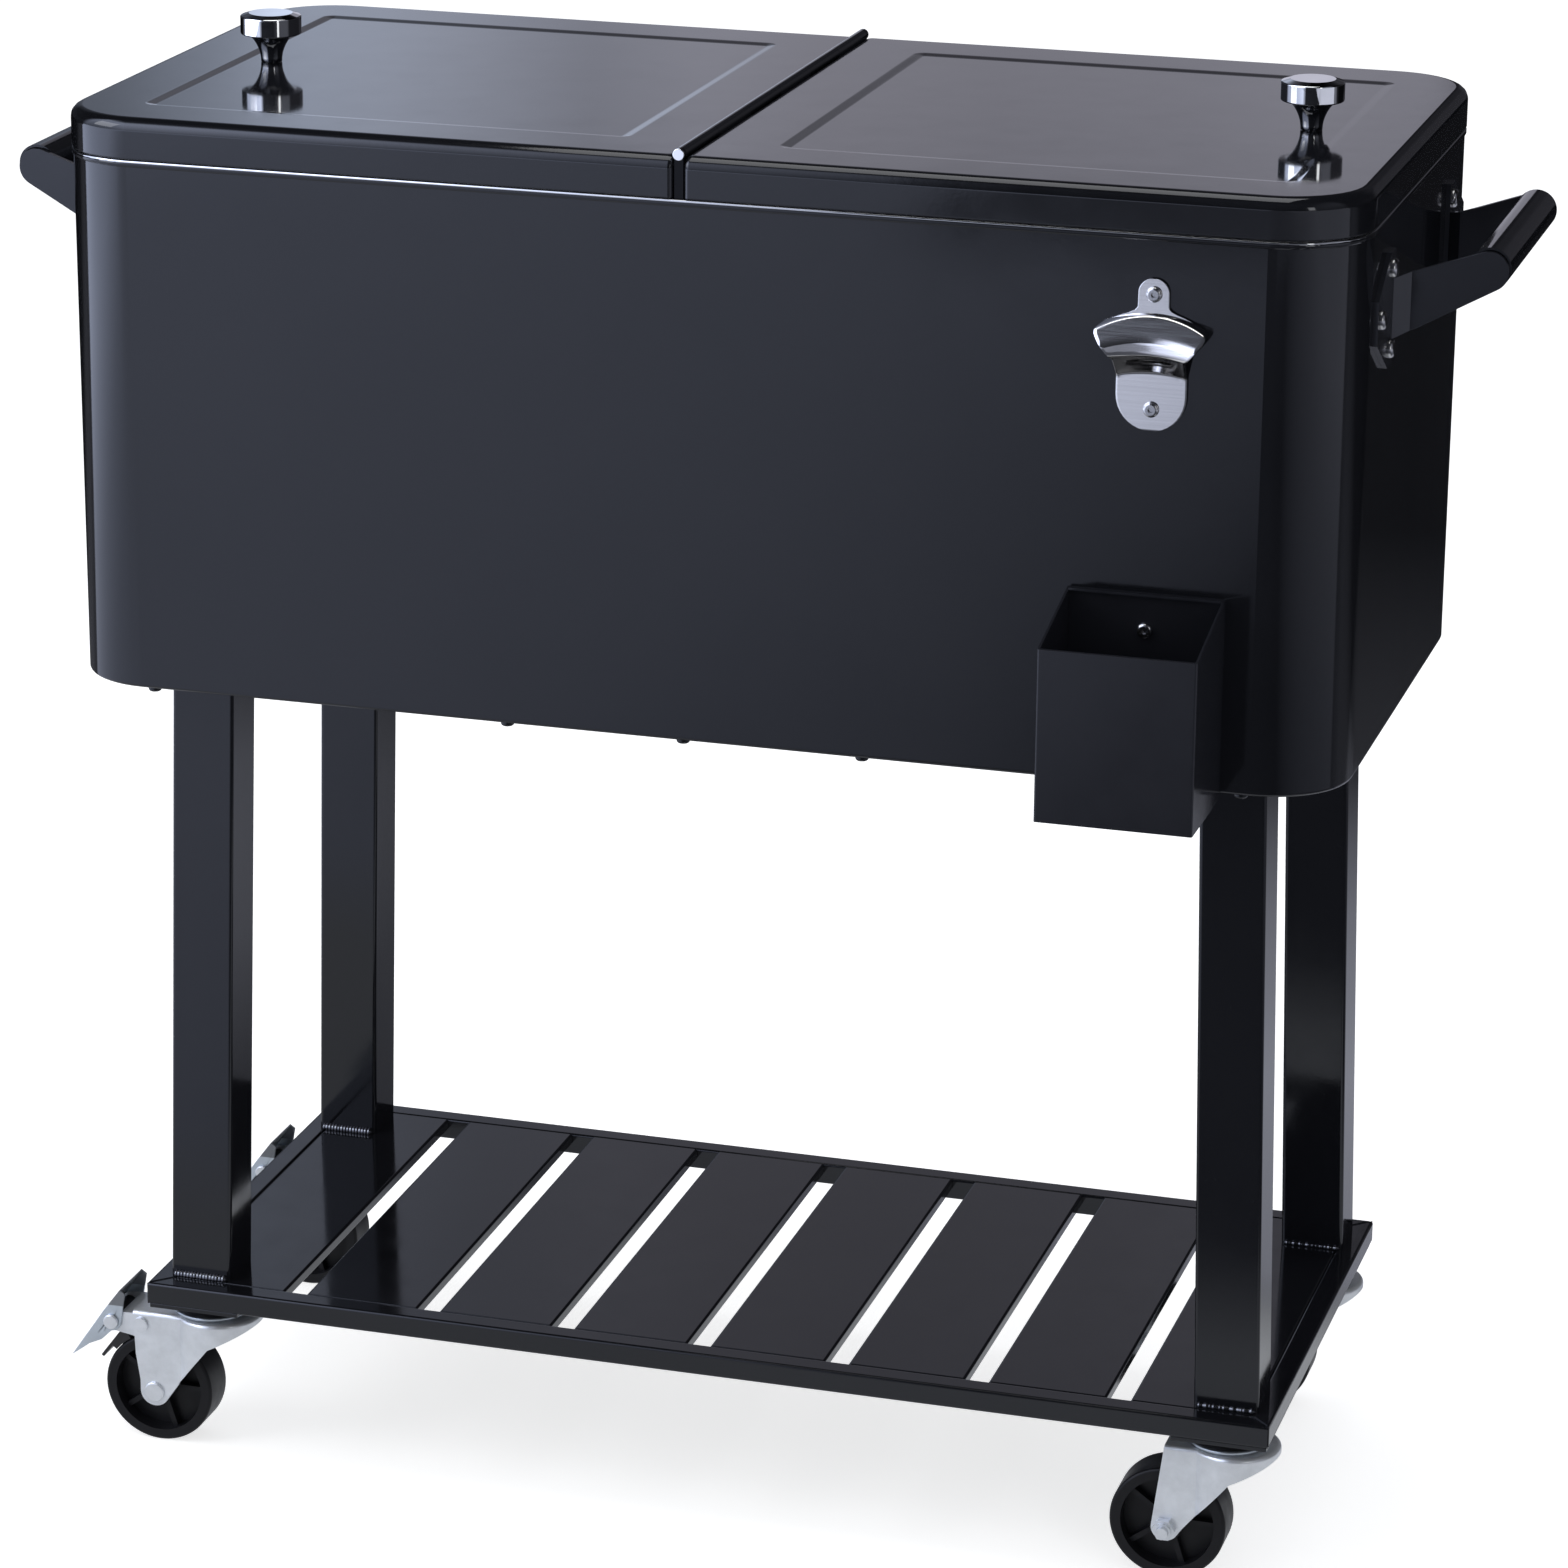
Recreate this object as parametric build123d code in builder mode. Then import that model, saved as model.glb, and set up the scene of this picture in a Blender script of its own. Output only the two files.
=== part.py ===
from build123d import *
import os
from math import atan, degrees, radians, tan

# A rolling patio cooler: an insulated steel case with two lids that share one hinge across its middle,
# on four leaning legs, a slatted shelf and four swivel casters.
# +X is the right end and -Y the front. The origin is on the floor, in the middle of the whole cooler,
# so the case stands behind it by half of what the cap catcher sticks out.
# The front of the case, the lids' tops and the casters follow measured outlines.

# Clearances shared by all pieces
seat_gap = 0.3
running_gap = 0.05

# Case
case_length = 822.5
case_depth = 409.5
case_height = 340.4
case_corner_radius = 53.0
case_bend_radius = 2.5
case_sheet = 1.2
base_flange_width = 16.0
bead_height = 4.8
bead_reach = 1.0
sheet_seam_y = 14.5
sheet_seam_width = 1.0
sheet_seam_depth = 0.5

# Tub
wall_thickness = 38.0
floor_thickness = 40.0
tub_radius = 28.0
tub_floor_radius = 12.0
tub_draft = 1.5
liner_sheet = 2.5
liner_flange = 3.0

# Base pan
pan_sheet = 1.5
base_screw_spacing = 115.0
base_screw_set_in = 59.25
base_screw_radius = 2.0
base_screw_head_radius = 4.2
base_screw_head = 3.5
base_screw_length = 8.0

# Seal
seal_width = 7.0
seal_depth = 1.5
seal_set_back = 9.0
seal_radius = 14.0
bar_seal_set_in = 9.0

# Lids
lid_gap = 0.6
lid_overhang = 1.0
lid_height = 25.4
lid_sheet = 1.2
lid_edge_radius = 8.0
lid_seam_half = 3.65
lid_seam_radius = 2.0
panel_near = 48.7
panel_end_border = 47.85
panel_side_border = 46.25
panel_depth = 2.0
panel_slope = 3.0
lid_pan_sheet = 2.0
plug_drop = 12.0
plug_gap = 6.0

# Centre bar and its end posts
bar_width = 30.0
bar_height = 10.4
post_width = 5.6
post_thickness = 3.2
post_set_in = 1.3

# Hinge, which stands a little to the left of the middle
hinge_x = -1.5
pin_radius = 2.0
pin_rise = 1.1
barrel_radius = 3.65
pin_head = 1.2
knuckles = 6
knuckle_gap = 0.3
leaf_thickness = 1.2
leaf_cut_back = 4.5
leaf_foot = 2.0

# Lid knobs
knob_set_in = 69.25
knob_foot_radius = 6.8
knob_waist_radius = 9.2
knob_neck_radius = 14.6
knob_cap_radius = 19.7
knob_crown_radius = 14.2
knob_neck_height = 17.4
knob_cap_height = 11.8
knob_crown_height = 1.8
knob_edge_radius = 1.0
knob_stud_radius = 4.0
knob_stud_length = 12.0

# Handles; places that end in drop are depths below the rim
grip_reach = 58.8
grip_drop = 33.8
grip_radius = 12.7
grip_wall = 1.6
arm_outer = 89.0
arm_sheet = 3.0
arm_end_radius = 12.2
arm_end_back = 0.6
arm_end_low = 1.6
arm_bevel = 10.0
arm_root_top_drop = 42.4
arm_root_bottom_drop = 79.9
arm_knee_out = 12.5
arm_knee_top_drop = 37.4
arm_knee_bottom_drop = 73.4
flange_near = 94.0
flange_top_corner = 109.0
flange_far = 146.0
flange_top_drop = 23.4
flange_bottom_drop = 94.4
flange_far_top_drop = 45.4
flange_far_bottom_drop = 72.4
handle_bolt_drops = ((103.0, 33.9), (136.0, 58.2), (105.0, 82.6))
bolt_radius = 2.9
bolt_head_radius = 6.0
bolt_head_height = 3.6
bolt_dome_radius = 3.0
bolt_length = 9.0

# Bottle opener; places that end in drop are depths below the rim, in the middle of the opener
opener_set_in = 119.25
opener_sheet = 2.0
opener_top_drop = 26.4
opener_bottom_drop = 118.7
opener_tab_half = 9.8
opener_plate_half = 23.0
opener_lip_half = 22.4
opener_tip_half = 34.4
opener_tip_drop = 57.2
opener_shoulder_drop = 47.6
opener_neck_drop = 45.4
opener_hood_drop = 48.8
opener_crease_drop = 61.2
opener_lip_drop = 68.9
opener_lip_corner_drop = 72.4
opener_throat_drop = 82.3
opener_throat_corner_drop = 86.4
opener_rise = 3.0
opener_crease_reach = 12.5
opener_lip_reach = 17.0
opener_bend_radius = 1.8
opener_arch_radius = 74.0
opener_slot_half = 14.0
opener_slot_drop = 73.4
opener_slot_height = 2.4
opener_tooth_radius = 1.1
opener_screw_drops = (35.9, 105.4)

# Cap catcher, whose bottom hangs a little below the case
catcher_width = 96.5
catcher_reach = 75.0
catcher_hang = 3.5
catcher_front_height = 107.0
catcher_back_height = 125.5
catcher_sheet = 1.5
catcher_edge_radius = 1.4
catcher_lip = 5.0
catcher_screw_rise = 102.2

# Screws in the front of the case
front_screw_radius = 2.4
front_screw_head_radius = 4.8
front_screw_head = 2.8
front_screw_dome = 1.8
front_screw_socket = 1.7
front_screw_socket_depth = 1.6
front_screw_length = 9.0

# Drain
drain_rise = 12.0
drain_bore = 6.0
drain_tube_radius = 9.0
drain_flange_radius = 14.0
drain_flange = 2.5
drain_reach = 16.0
drain_cap_radius = 12.5
drain_cap_wall = 2.5
drain_cap_lobes = 8
drain_cap_lobe_radius = 1.6

# Legs
shelf_top = 125.0
leg_height = 425.0
leg_width = 42.0
leg_depth = 39.0
leg_wall = 1.6
leg_radius = 2.5
leg_set_in_x = 62.85
leg_set_in_y = 66.95
leg_lean_x = 10.7
leg_lean_y = 5.1
leg_plate_length = 84.0
leg_plate_width = 56.0
leg_plate_sheet = 3.0
leg_plate_radius = 5.0
leg_bolt_spacing = 62.0
leg_bolt_radius = 4.0
leg_bolt_length = 16.0
leg_bolt_flats = 13.0
leg_bolt_head = 5.0
leg_insert_radius = 6.5
leg_insert_height = 11.0

# Shelf
shelf_set_in_x = 31.25
shelf_set_in_y = 29.25
rail_size = 15.0
rail_wall = 1.5
rail_radius = 1.8
slats = 8
slat_gap = 15.5
slat_sheet = 1.5
slat_lip = 7.0
slat_radius = 1.6
corner_plate_size = 62.0
corner_plate_sheet = 3.0
corner_plate_set_in = 1.5
corner_plate_chamfer = 16.0

# Casters
swivel_set_in_x = 32.5
swivel_set_in_y = 37.5
trail = 36.0
wheel_radius = 38.1
wheel_width = 28.0
wheel_rim = 7.5
wheel_web = 6.0
wheel_hub_radius = 10.5
wheel_edge_radius = 2.2
wheel_spokes = 5
wheel_spoke_width = 3.6
wheel_spoke_depth = 17.0
axle_radius = 4.0
axle_flats = 13.0
axle_head = 5.0
axle_nut = 5.0
axle_nut_collar = 2.2
axle_nut_collar_radius = 5.4
axle_tail = 3.2
rivet_head_radius = 7.0
rivet_head = 2.0
crown_top = 95.5
crown_radius = 29.2
crown_forward = 4.3
crown_edge_radius = 3.0
fork_half_width = 20.5
fork_sheet = 2.5
fork_foot_radius = 9.0
race_radius = 26.3
race_height = 2.2
race_gap = 1.0
race_rim_radius = 0.9
ball_ring_radius = 20.0
ball_ring_width = 4.0
dust_cover_radius = 24.3
dust_cover_height = 2.8
swivel_radius = 7.0
swivel_head_radius = 10.0
swivel_head = 3.0
collar_flats = 19.0
stem_radius = 5.0
stem_tail = 3.0
stem_nut_flats = 17.0
stem_nut_height = 8.0

# Brakes, on the two left casters
pivot_back = 66.5
pivot_height = 85.1
pivot_radius = 3.0
pivot_head_radius = 5.2
bracket_sheet = 2.0
bracket_end_radius = 6.8
bracket_rivet_back = 44.6
bracket_rivet_height = 86.0
bracket_rivet_radius = 2.5
pedal_sheet = 1.6
pedal_tip_back = 96.0
pedal_tip_height = 57.0
pedal_bend_back = 71.6
pedal_bend_height = 92.9
pedal_tab_back = 60.2
pedal_tab_height = 108.2
pedal_tab_half = 13.0
shoe_half_width = 13.0
shoe_hub_radius = 5.6
shoe_leaf = 2.2
shoe_tip_back = 76.5
shoe_tip_height = 56.0
shoe_heel_back = 60.0
shoe_heel_height = 78.2
shoe_pad_share = 0.6

# Heights and places that follow from the sizes above
case_y = catcher_reach / 2 - lid_overhang / 2
case_bottom = shelf_top + leg_height
rim_top = case_bottom + case_height
lid_bottom = rim_top + lid_gap
lid_top = lid_bottom + lid_height
panel_floor = lid_top - panel_depth
panel_taper = degrees(atan(panel_slope / panel_depth))
pin_height = lid_top + pin_rise
half_length = case_length / 2
half_depth = case_depth / 2
panel_far = half_length - panel_end_border
panel_half_width = half_depth - panel_side_border
knob_place = half_length - knob_set_in
grip_place = half_length + grip_reach
grip_height = rim_top - grip_drop
arm_root_top = rim_top - arm_root_top_drop
arm_root_bottom = rim_top - arm_root_bottom_drop
arm_knee_top = rim_top - arm_knee_top_drop
arm_knee_bottom = rim_top - arm_knee_bottom_drop
flange_top = rim_top - flange_top_drop
flange_bottom = rim_top - flange_bottom_drop
flange_far_top = rim_top - flange_far_top_drop
flange_far_bottom = rim_top - flange_far_bottom_drop
handle_bolt_spots = [(y, rim_top - drop) for y, drop in handle_bolt_drops]
opener_place = half_length - opener_set_in
opener_top = rim_top - opener_top_drop
opener_bottom = rim_top - opener_bottom_drop
opener_lip_height = rim_top - opener_lip_drop
opener_screw_heights = [rim_top - drop for drop in opener_screw_drops]
catcher_place = opener_place
catcher_bottom = case_bottom - catcher_hang
catcher_front_top = catcher_bottom + catcher_front_height
catcher_back_top = catcher_bottom + catcher_back_height
catcher_screw_height = catcher_bottom + catcher_screw_rise
drain_height = case_bottom + floor_thickness + drain_rise
leg_foot_x = half_length - leg_set_in_x
leg_foot_y = half_depth - leg_set_in_y
shelf_length = case_length - 2 * shelf_set_in_x
shelf_depth = case_depth - 2 * shelf_set_in_y
swivel_x = shelf_length / 2 - swivel_set_in_x
swivel_y = shelf_depth / 2 - swivel_set_in_y
base_screw_outer = half_length - base_screw_set_in
tub_length = case_length - 2 * wall_thickness
tub_depth = case_depth - 2 * wall_thickness
tub_height = case_height - floor_thickness
pan_bottom = case_bottom + case_sheet
pan_top = pan_bottom + pan_sheet
flange_underside = rim_top - liner_flange
post_outer = half_depth - post_set_in
post_inner = post_outer - post_thickness
leaf_half = post_inner - knuckle_gap
knuckle_pitch = 2 * leaf_half / knuckles
rail_inner_x = shelf_length / 2 - rail_size
rail_inner_y = shelf_depth / 2 - rail_size
slat_pitch = (2 * rail_inner_x + slat_gap) / slats
slat_width = slat_pitch - slat_gap
rail_bottom = shelf_top - rail_size
plate_bottom = rail_bottom - corner_plate_sheet
crown_underside = crown_top - fork_sheet
race_bottom = crown_top + race_gap
race_top = race_bottom + race_height
dust_cover_top = race_top + dust_cover_height
cheek_inner = fork_half_width - fork_sheet
bracket_outer = cheek_inner - seat_gap
wheel_bore = axle_radius + running_gap
ends = (("left", -1), ("right", 1))
sides = (("front", -1), ("back", 1))

os.makedirs("parts", exist_ok=True)


# Planes through the middle of the case: level at a height, upright facing the front, upright facing right
def level(height):
    return Plane(origin=(0, case_y, height), x_dir=(1, 0, 0), z_dir=(0, 0, 1))


def facing_front(y):
    return Plane(origin=(0, case_y + y, 0), x_dir=(1, 0, 0), z_dir=(0, -1, 0))


def facing_right(x):
    return Plane(origin=(x, case_y, 0), x_dir=(0, 1, 0), z_dir=(1, 0, 0))


# Tapered space of the tub, or the outside of a wall that is thicker by grow
def tub_form(grow):
    downward = Plane(origin=(0, case_y, rim_top), x_dir=(1, 0, 0), z_dir=(0, 0, -1))
    with BuildPart() as form:
        with BuildSketch(downward):
            RectangleRounded(tub_length + 2 * grow, tub_depth + 2 * grow, tub_radius + grow)
        extrude(amount=tub_height + grow, taper=tub_draft)
        fillet(form.faces().sort_by(Axis.Z)[0].edges(), tub_floor_radius + grow)
    return form.part


# Two closed loops of seal, one round each mouth of the tub, drawn in the sketch that is open
seal_outer_x = tub_length / 2 + seal_set_back + seal_width / 2
seal_inner_x = bar_seal_set_in - seal_width / 2
seal_half_y = tub_depth / 2 + seal_set_back + seal_width / 2


def seal_loops():
    for _, end in ends:
        with Locations((end * (seal_outer_x + seal_inner_x) / 2, 0)):
            RectangleRounded(seal_outer_x - seal_inner_x, 2 * seal_half_y, seal_radius)
            RectangleRounded(
                seal_outer_x - seal_inner_x - 2 * seal_width,
                2 * seal_half_y - 2 * seal_width,
                seal_radius - seal_width,
                mode=Mode.SUBTRACT,
            )


# Screw places under the case, along the front and the back
base_screw_row = half_depth - base_flange_width / 2
base_screw_spots = [
    (x, side * base_screw_row)
    for _, side in sides
    for x in (-base_screw_outer, -base_screw_spacing, 0, base_screw_spacing, base_screw_outer)
]
handle_bolt_places = [(side * y, z) for _, side in sides for y, z in handle_bolt_spots]
front_screw_places = [(opener_place, z) for z in opener_screw_heights]
front_screw_places.append((catcher_place, catcher_screw_height))
front_screw_steps = (opener_sheet, opener_sheet, catcher_sheet)
leg_top_x = leg_foot_x - leg_lean_x
leg_top_y = leg_foot_y - leg_lean_y
leg_bolt_places = [
    (end * leg_top_x + step * leg_bolt_spacing / 2, side * leg_top_y)
    for _, end in ends
    for _, side in sides
    for step in (-1, 1)
]

# Outer shell of the case: one wrapped sheet with a rolled bead at the rim and a flange turned in below
with BuildPart() as case_shell:
    with BuildSketch(level(rim_top - bead_height)):
        RectangleRounded(
            case_length + 2 * bead_reach, case_depth + 2 * bead_reach, case_corner_radius + bead_reach
        )
    extrude(amount=bead_height)
    fillet(edges().group_by(Axis.Z)[0] + edges().group_by(Axis.Z)[-1], bead_height / 2 - seat_gap)
    with BuildSketch(level(case_bottom)):
        RectangleRounded(case_length, case_depth, case_corner_radius)
    extrude(amount=case_height)
    fillet(faces().sort_by(Axis.Z)[0].edges(), case_bend_radius)
    with BuildSketch(level(pan_bottom)):
        RectangleRounded(
            case_length - 2 * case_sheet, case_depth - 2 * case_sheet, case_corner_radius - case_sheet
        )
    extrude(amount=case_height, mode=Mode.SUBTRACT)
    with BuildSketch(level(case_bottom)):
        RectangleRounded(
            case_length - 2 * base_flange_width,
            case_depth - 2 * base_flange_width,
            case_corner_radius - base_flange_width,
        )
    extrude(amount=case_height, mode=Mode.SUBTRACT)
    with BuildSketch(level(case_bottom)):
        with Locations(*base_screw_spots):
            Circle(base_screw_radius + running_gap)
    extrude(amount=case_sheet, mode=Mode.SUBTRACT)
    with BuildSketch(facing_right(0)):
        with Locations(*handle_bolt_places):
            Circle(bolt_radius + running_gap)
    extrude(amount=case_length, both=True, mode=Mode.SUBTRACT)
    with BuildSketch(facing_front(0)):
        with Locations(*front_screw_places):
            Circle(front_screw_radius + running_gap)
    extrude(amount=case_depth, mode=Mode.SUBTRACT)
    with BuildSketch(facing_right(0)):
        with Locations((0, drain_height)):
            Circle(drain_tube_radius + running_gap)
    extrude(amount=-case_length, mode=Mode.SUBTRACT)
    # Seam where the ends of the wrapped sheet meet, on the right end
    with BuildSketch(facing_right(half_length - sheet_seam_depth)):
        with Locations((sheet_seam_y, (case_bottom + rim_top) / 2)):
            Rectangle(sheet_seam_width, case_height - 2 * bead_height)
    extrude(amount=sheet_seam_depth, mode=Mode.SUBTRACT)
case_shell.part.label = "case_shell"
export_step(case_shell.part, "parts/case_shell.step")

# Tub liner: a tapered tub with a flange over the insulation, grooved for the seal, notched for the bar
with BuildPart() as case_liner:
    add(tub_form(liner_sheet))
    with BuildSketch(level(flange_underside)):
        RectangleRounded(
            case_length - 2 * case_sheet - 2 * seat_gap,
            case_depth - 2 * case_sheet - 2 * seat_gap,
            case_corner_radius - case_sheet - seat_gap,
        )
    extrude(amount=liner_flange)
    add(tub_form(0), mode=Mode.SUBTRACT)
    with BuildSketch(level(rim_top - seal_depth)):
        seal_loops()
    extrude(amount=seal_depth, mode=Mode.SUBTRACT)
    with BuildSketch(level(flange_underside)):
        Rectangle(bar_width + 2 * seat_gap, case_depth)
    extrude(amount=liner_flange, mode=Mode.SUBTRACT)
    with BuildSketch(facing_right(0)):
        with Locations((0, drain_height)):
            Circle(drain_tube_radius + running_gap)
    extrude(amount=-case_length, mode=Mode.SUBTRACT)
case_liner.part.label = "case_liner"
export_step(case_liner.part, "parts/case_liner.step")

# Insulation between shell and liner, with pockets for the ends of the fixings
with BuildPart() as case_foam:
    with BuildSketch(level(pan_top)):
        RectangleRounded(
            case_length - 2 * case_sheet - 2 * seat_gap,
            case_depth - 2 * case_sheet - 2 * seat_gap,
            case_corner_radius - case_sheet - seat_gap,
        )
    extrude(amount=flange_underside - pan_top)
    add(tub_form(liner_sheet + seat_gap), mode=Mode.SUBTRACT)
    for _, end in ends:
        with BuildSketch(facing_right(end * half_length)):
            with Locations(*handle_bolt_places):
                Circle(bolt_radius + seat_gap)
        extrude(amount=-end * bolt_length, mode=Mode.SUBTRACT)
    with BuildSketch(facing_front(-half_depth)):
        with Locations(*front_screw_places):
            Circle(front_screw_radius + seat_gap)
    extrude(amount=-front_screw_length, mode=Mode.SUBTRACT)
    with BuildSketch(level(pan_top)):
        with Locations(*base_screw_spots):
            Circle(base_screw_radius + seat_gap)
    extrude(amount=base_screw_length, mode=Mode.SUBTRACT)
    with BuildSketch(level(pan_top)):
        with Locations(*leg_bolt_places):
            Circle(leg_insert_radius + seat_gap)
    extrude(amount=leg_insert_height + leg_bolt_head, mode=Mode.SUBTRACT)
    with BuildSketch(facing_right(0)):
        with Locations((0, drain_height)):
            Circle(drain_tube_radius + seat_gap)
    extrude(amount=-case_length, mode=Mode.SUBTRACT)
case_foam.part.label = "case_foam"
export_step(case_foam.part, "parts/case_foam.step")

# Base pan inside the turned flange, with threaded inserts for the leg bolts
with BuildPart() as base_pan:
    with BuildSketch(level(pan_bottom)):
        RectangleRounded(
            case_length - 2 * case_sheet - 2 * seat_gap,
            case_depth - 2 * case_sheet - 2 * seat_gap,
            case_corner_radius - case_sheet - seat_gap,
        )
        with Locations(*base_screw_spots):
            Circle(base_screw_radius + running_gap, mode=Mode.SUBTRACT)
    extrude(amount=pan_sheet)
    with BuildSketch(level(pan_top)):
        with Locations(*leg_bolt_places):
            Circle(leg_insert_radius)
    extrude(amount=leg_insert_height)
    with BuildSketch(level(pan_bottom)):
        with Locations(*leg_bolt_places):
            Circle(leg_bolt_radius + running_gap)
    extrude(amount=pan_sheet + leg_insert_height, mode=Mode.SUBTRACT)
base_pan.part.label = "base_pan"
export_step(base_pan.part, "parts/base_pan.step")

# Screws that hold the pan to the flange
with BuildPart() as base_screws:
    with BuildSketch(level(case_bottom)):
        with Locations(*base_screw_spots):
            Circle(base_screw_radius)
    extrude(amount=base_screw_length)
    with BuildSketch(level(case_bottom - base_screw_head)):
        with Locations(*base_screw_spots):
            Circle(base_screw_head_radius)
    extrude(amount=base_screw_head)
    fillet(edges().group_by(Axis.Z)[0], base_screw_head / 2)
base_screws.part.label = "base_screws"
export_step(base_screws.part, "parts/base_screws.step")

# Centre bar across the tub, with a post at each end that rises between the lids to hold the hinge pin
bar_half_y = tub_depth / 2 - 2 * seat_gap
tongue_half_y = half_depth - case_sheet - seat_gap
with BuildPart() as centre_bar:
    with BuildSketch(level(rim_top - bar_height)):
        Rectangle(bar_width, 2 * bar_half_y)
    extrude(amount=bar_height)
    with BuildSketch(level(flange_underside)):
        Rectangle(bar_width, 2 * tongue_half_y)
    extrude(amount=liner_flange)
    with BuildSketch(level(rim_top - seal_depth)):
        seal_loops()
    extrude(amount=seal_depth, mode=Mode.SUBTRACT)
    for start in (-post_inner, post_outer):
        with BuildSketch(facing_front(start)):
            with Locations((hinge_x, (rim_top + pin_height) / 2)):
                Rectangle(post_width, pin_height - rim_top)
            with Locations((hinge_x, pin_height)):
                Circle(barrel_radius)
                Circle(pin_radius + running_gap, mode=Mode.SUBTRACT)
        extrude(amount=post_thickness)
centre_bar.part.label = "centre_bar"
export_step(centre_bar.part, "parts/centre_bar.step")

# Seal, two rubber loops that stand up from their grooves to the lids
with BuildPart() as rim_gasket:
    with BuildSketch(level(rim_top - seal_depth)):
        seal_loops()
    extrude(amount=seal_depth + lid_gap)
rim_gasket.part.label = "rim_gasket"
export_step(rim_gasket.part, "parts/rim_gasket.step")

# Hinge pin, with a button head outside each post
with BuildPart() as hinge_pin:
    with BuildSketch(facing_front(0)):
        with Locations((hinge_x, pin_height)):
            Circle(pin_radius)
    extrude(amount=post_outer, both=True)
    for start in (-post_outer, post_outer + pin_head):
        with BuildSketch(facing_front(start)):
            with Locations((hinge_x, pin_height)):
                Circle(barrel_radius)
        extrude(amount=pin_head)
    fillet(edges().group_by(Axis.Y)[0] + edges().group_by(Axis.Y)[-1], pin_head / 3)
hinge_pin.part.label = "hinge_pin"
export_step(hinge_pin.part, "parts/hinge_pin.step")


# Plan of one lid, drawn in the open sketch, smaller by inset on every side
def lid_outline(end, inset):
    far = half_length + lid_overhang - inset
    near = end * hinge_x + lid_seam_half + inset
    with Locations((end * (far + near) / 2, 0)):
        Rectangle(far - near, case_depth + 2 * (lid_overhang - inset))
    outer_corners = vertices().group_by(Axis.X)[-1 if end > 0 else 0]
    fillet(outer_corners, case_corner_radius + lid_overhang - inset)


# Solid form of one lid with its rounded top edge, smaller by inset
def lid_form(end, inset):
    with BuildPart() as form:
        with BuildSketch(level(lid_bottom)):
            lid_outline(end, inset)
        extrude(amount=lid_height - inset)
        rim = form.faces().sort_by(Axis.Z)[-1].edges().sort_by(Axis.X)
        fillet(rim[1:] if end > 0 else rim[:-1], lid_edge_radius - inset)
        seam_face = form.faces().sort_by(Axis.X)[0 if end > 0 else -1]
        if inset < lid_seam_radius:
            fillet(seam_face.edges().sort_by(Axis.Z)[1:], lid_seam_radius - inset)
    return form.part


# Sunk panel with sloped edges, lowered by depth into the sheet
def panel_form(end, depth):
    shift = depth * tan(radians(90 - panel_taper) / 2)
    with BuildPart() as form:
        with BuildSketch(level(lid_top - depth)):
            with Locations((end * (panel_near + panel_far) / 2, 0)):
                Rectangle(panel_far - panel_near + 2 * shift, 2 * (panel_half_width + shift))
        extrude(amount=-panel_depth, taper=panel_taper)
    return form.part


# Plan of the part of a lid that drops into its mouth of the tub
def plug_outline(end, inset):
    far = tub_length / 2 - plug_gap - inset
    near = bar_width / 2 + plug_gap + inset
    with Locations((end * (far + near) / 2, 0)):
        RectangleRounded(far - near, tub_depth - 2 * (plug_gap + inset), tub_radius - plug_gap - inset)


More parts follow.
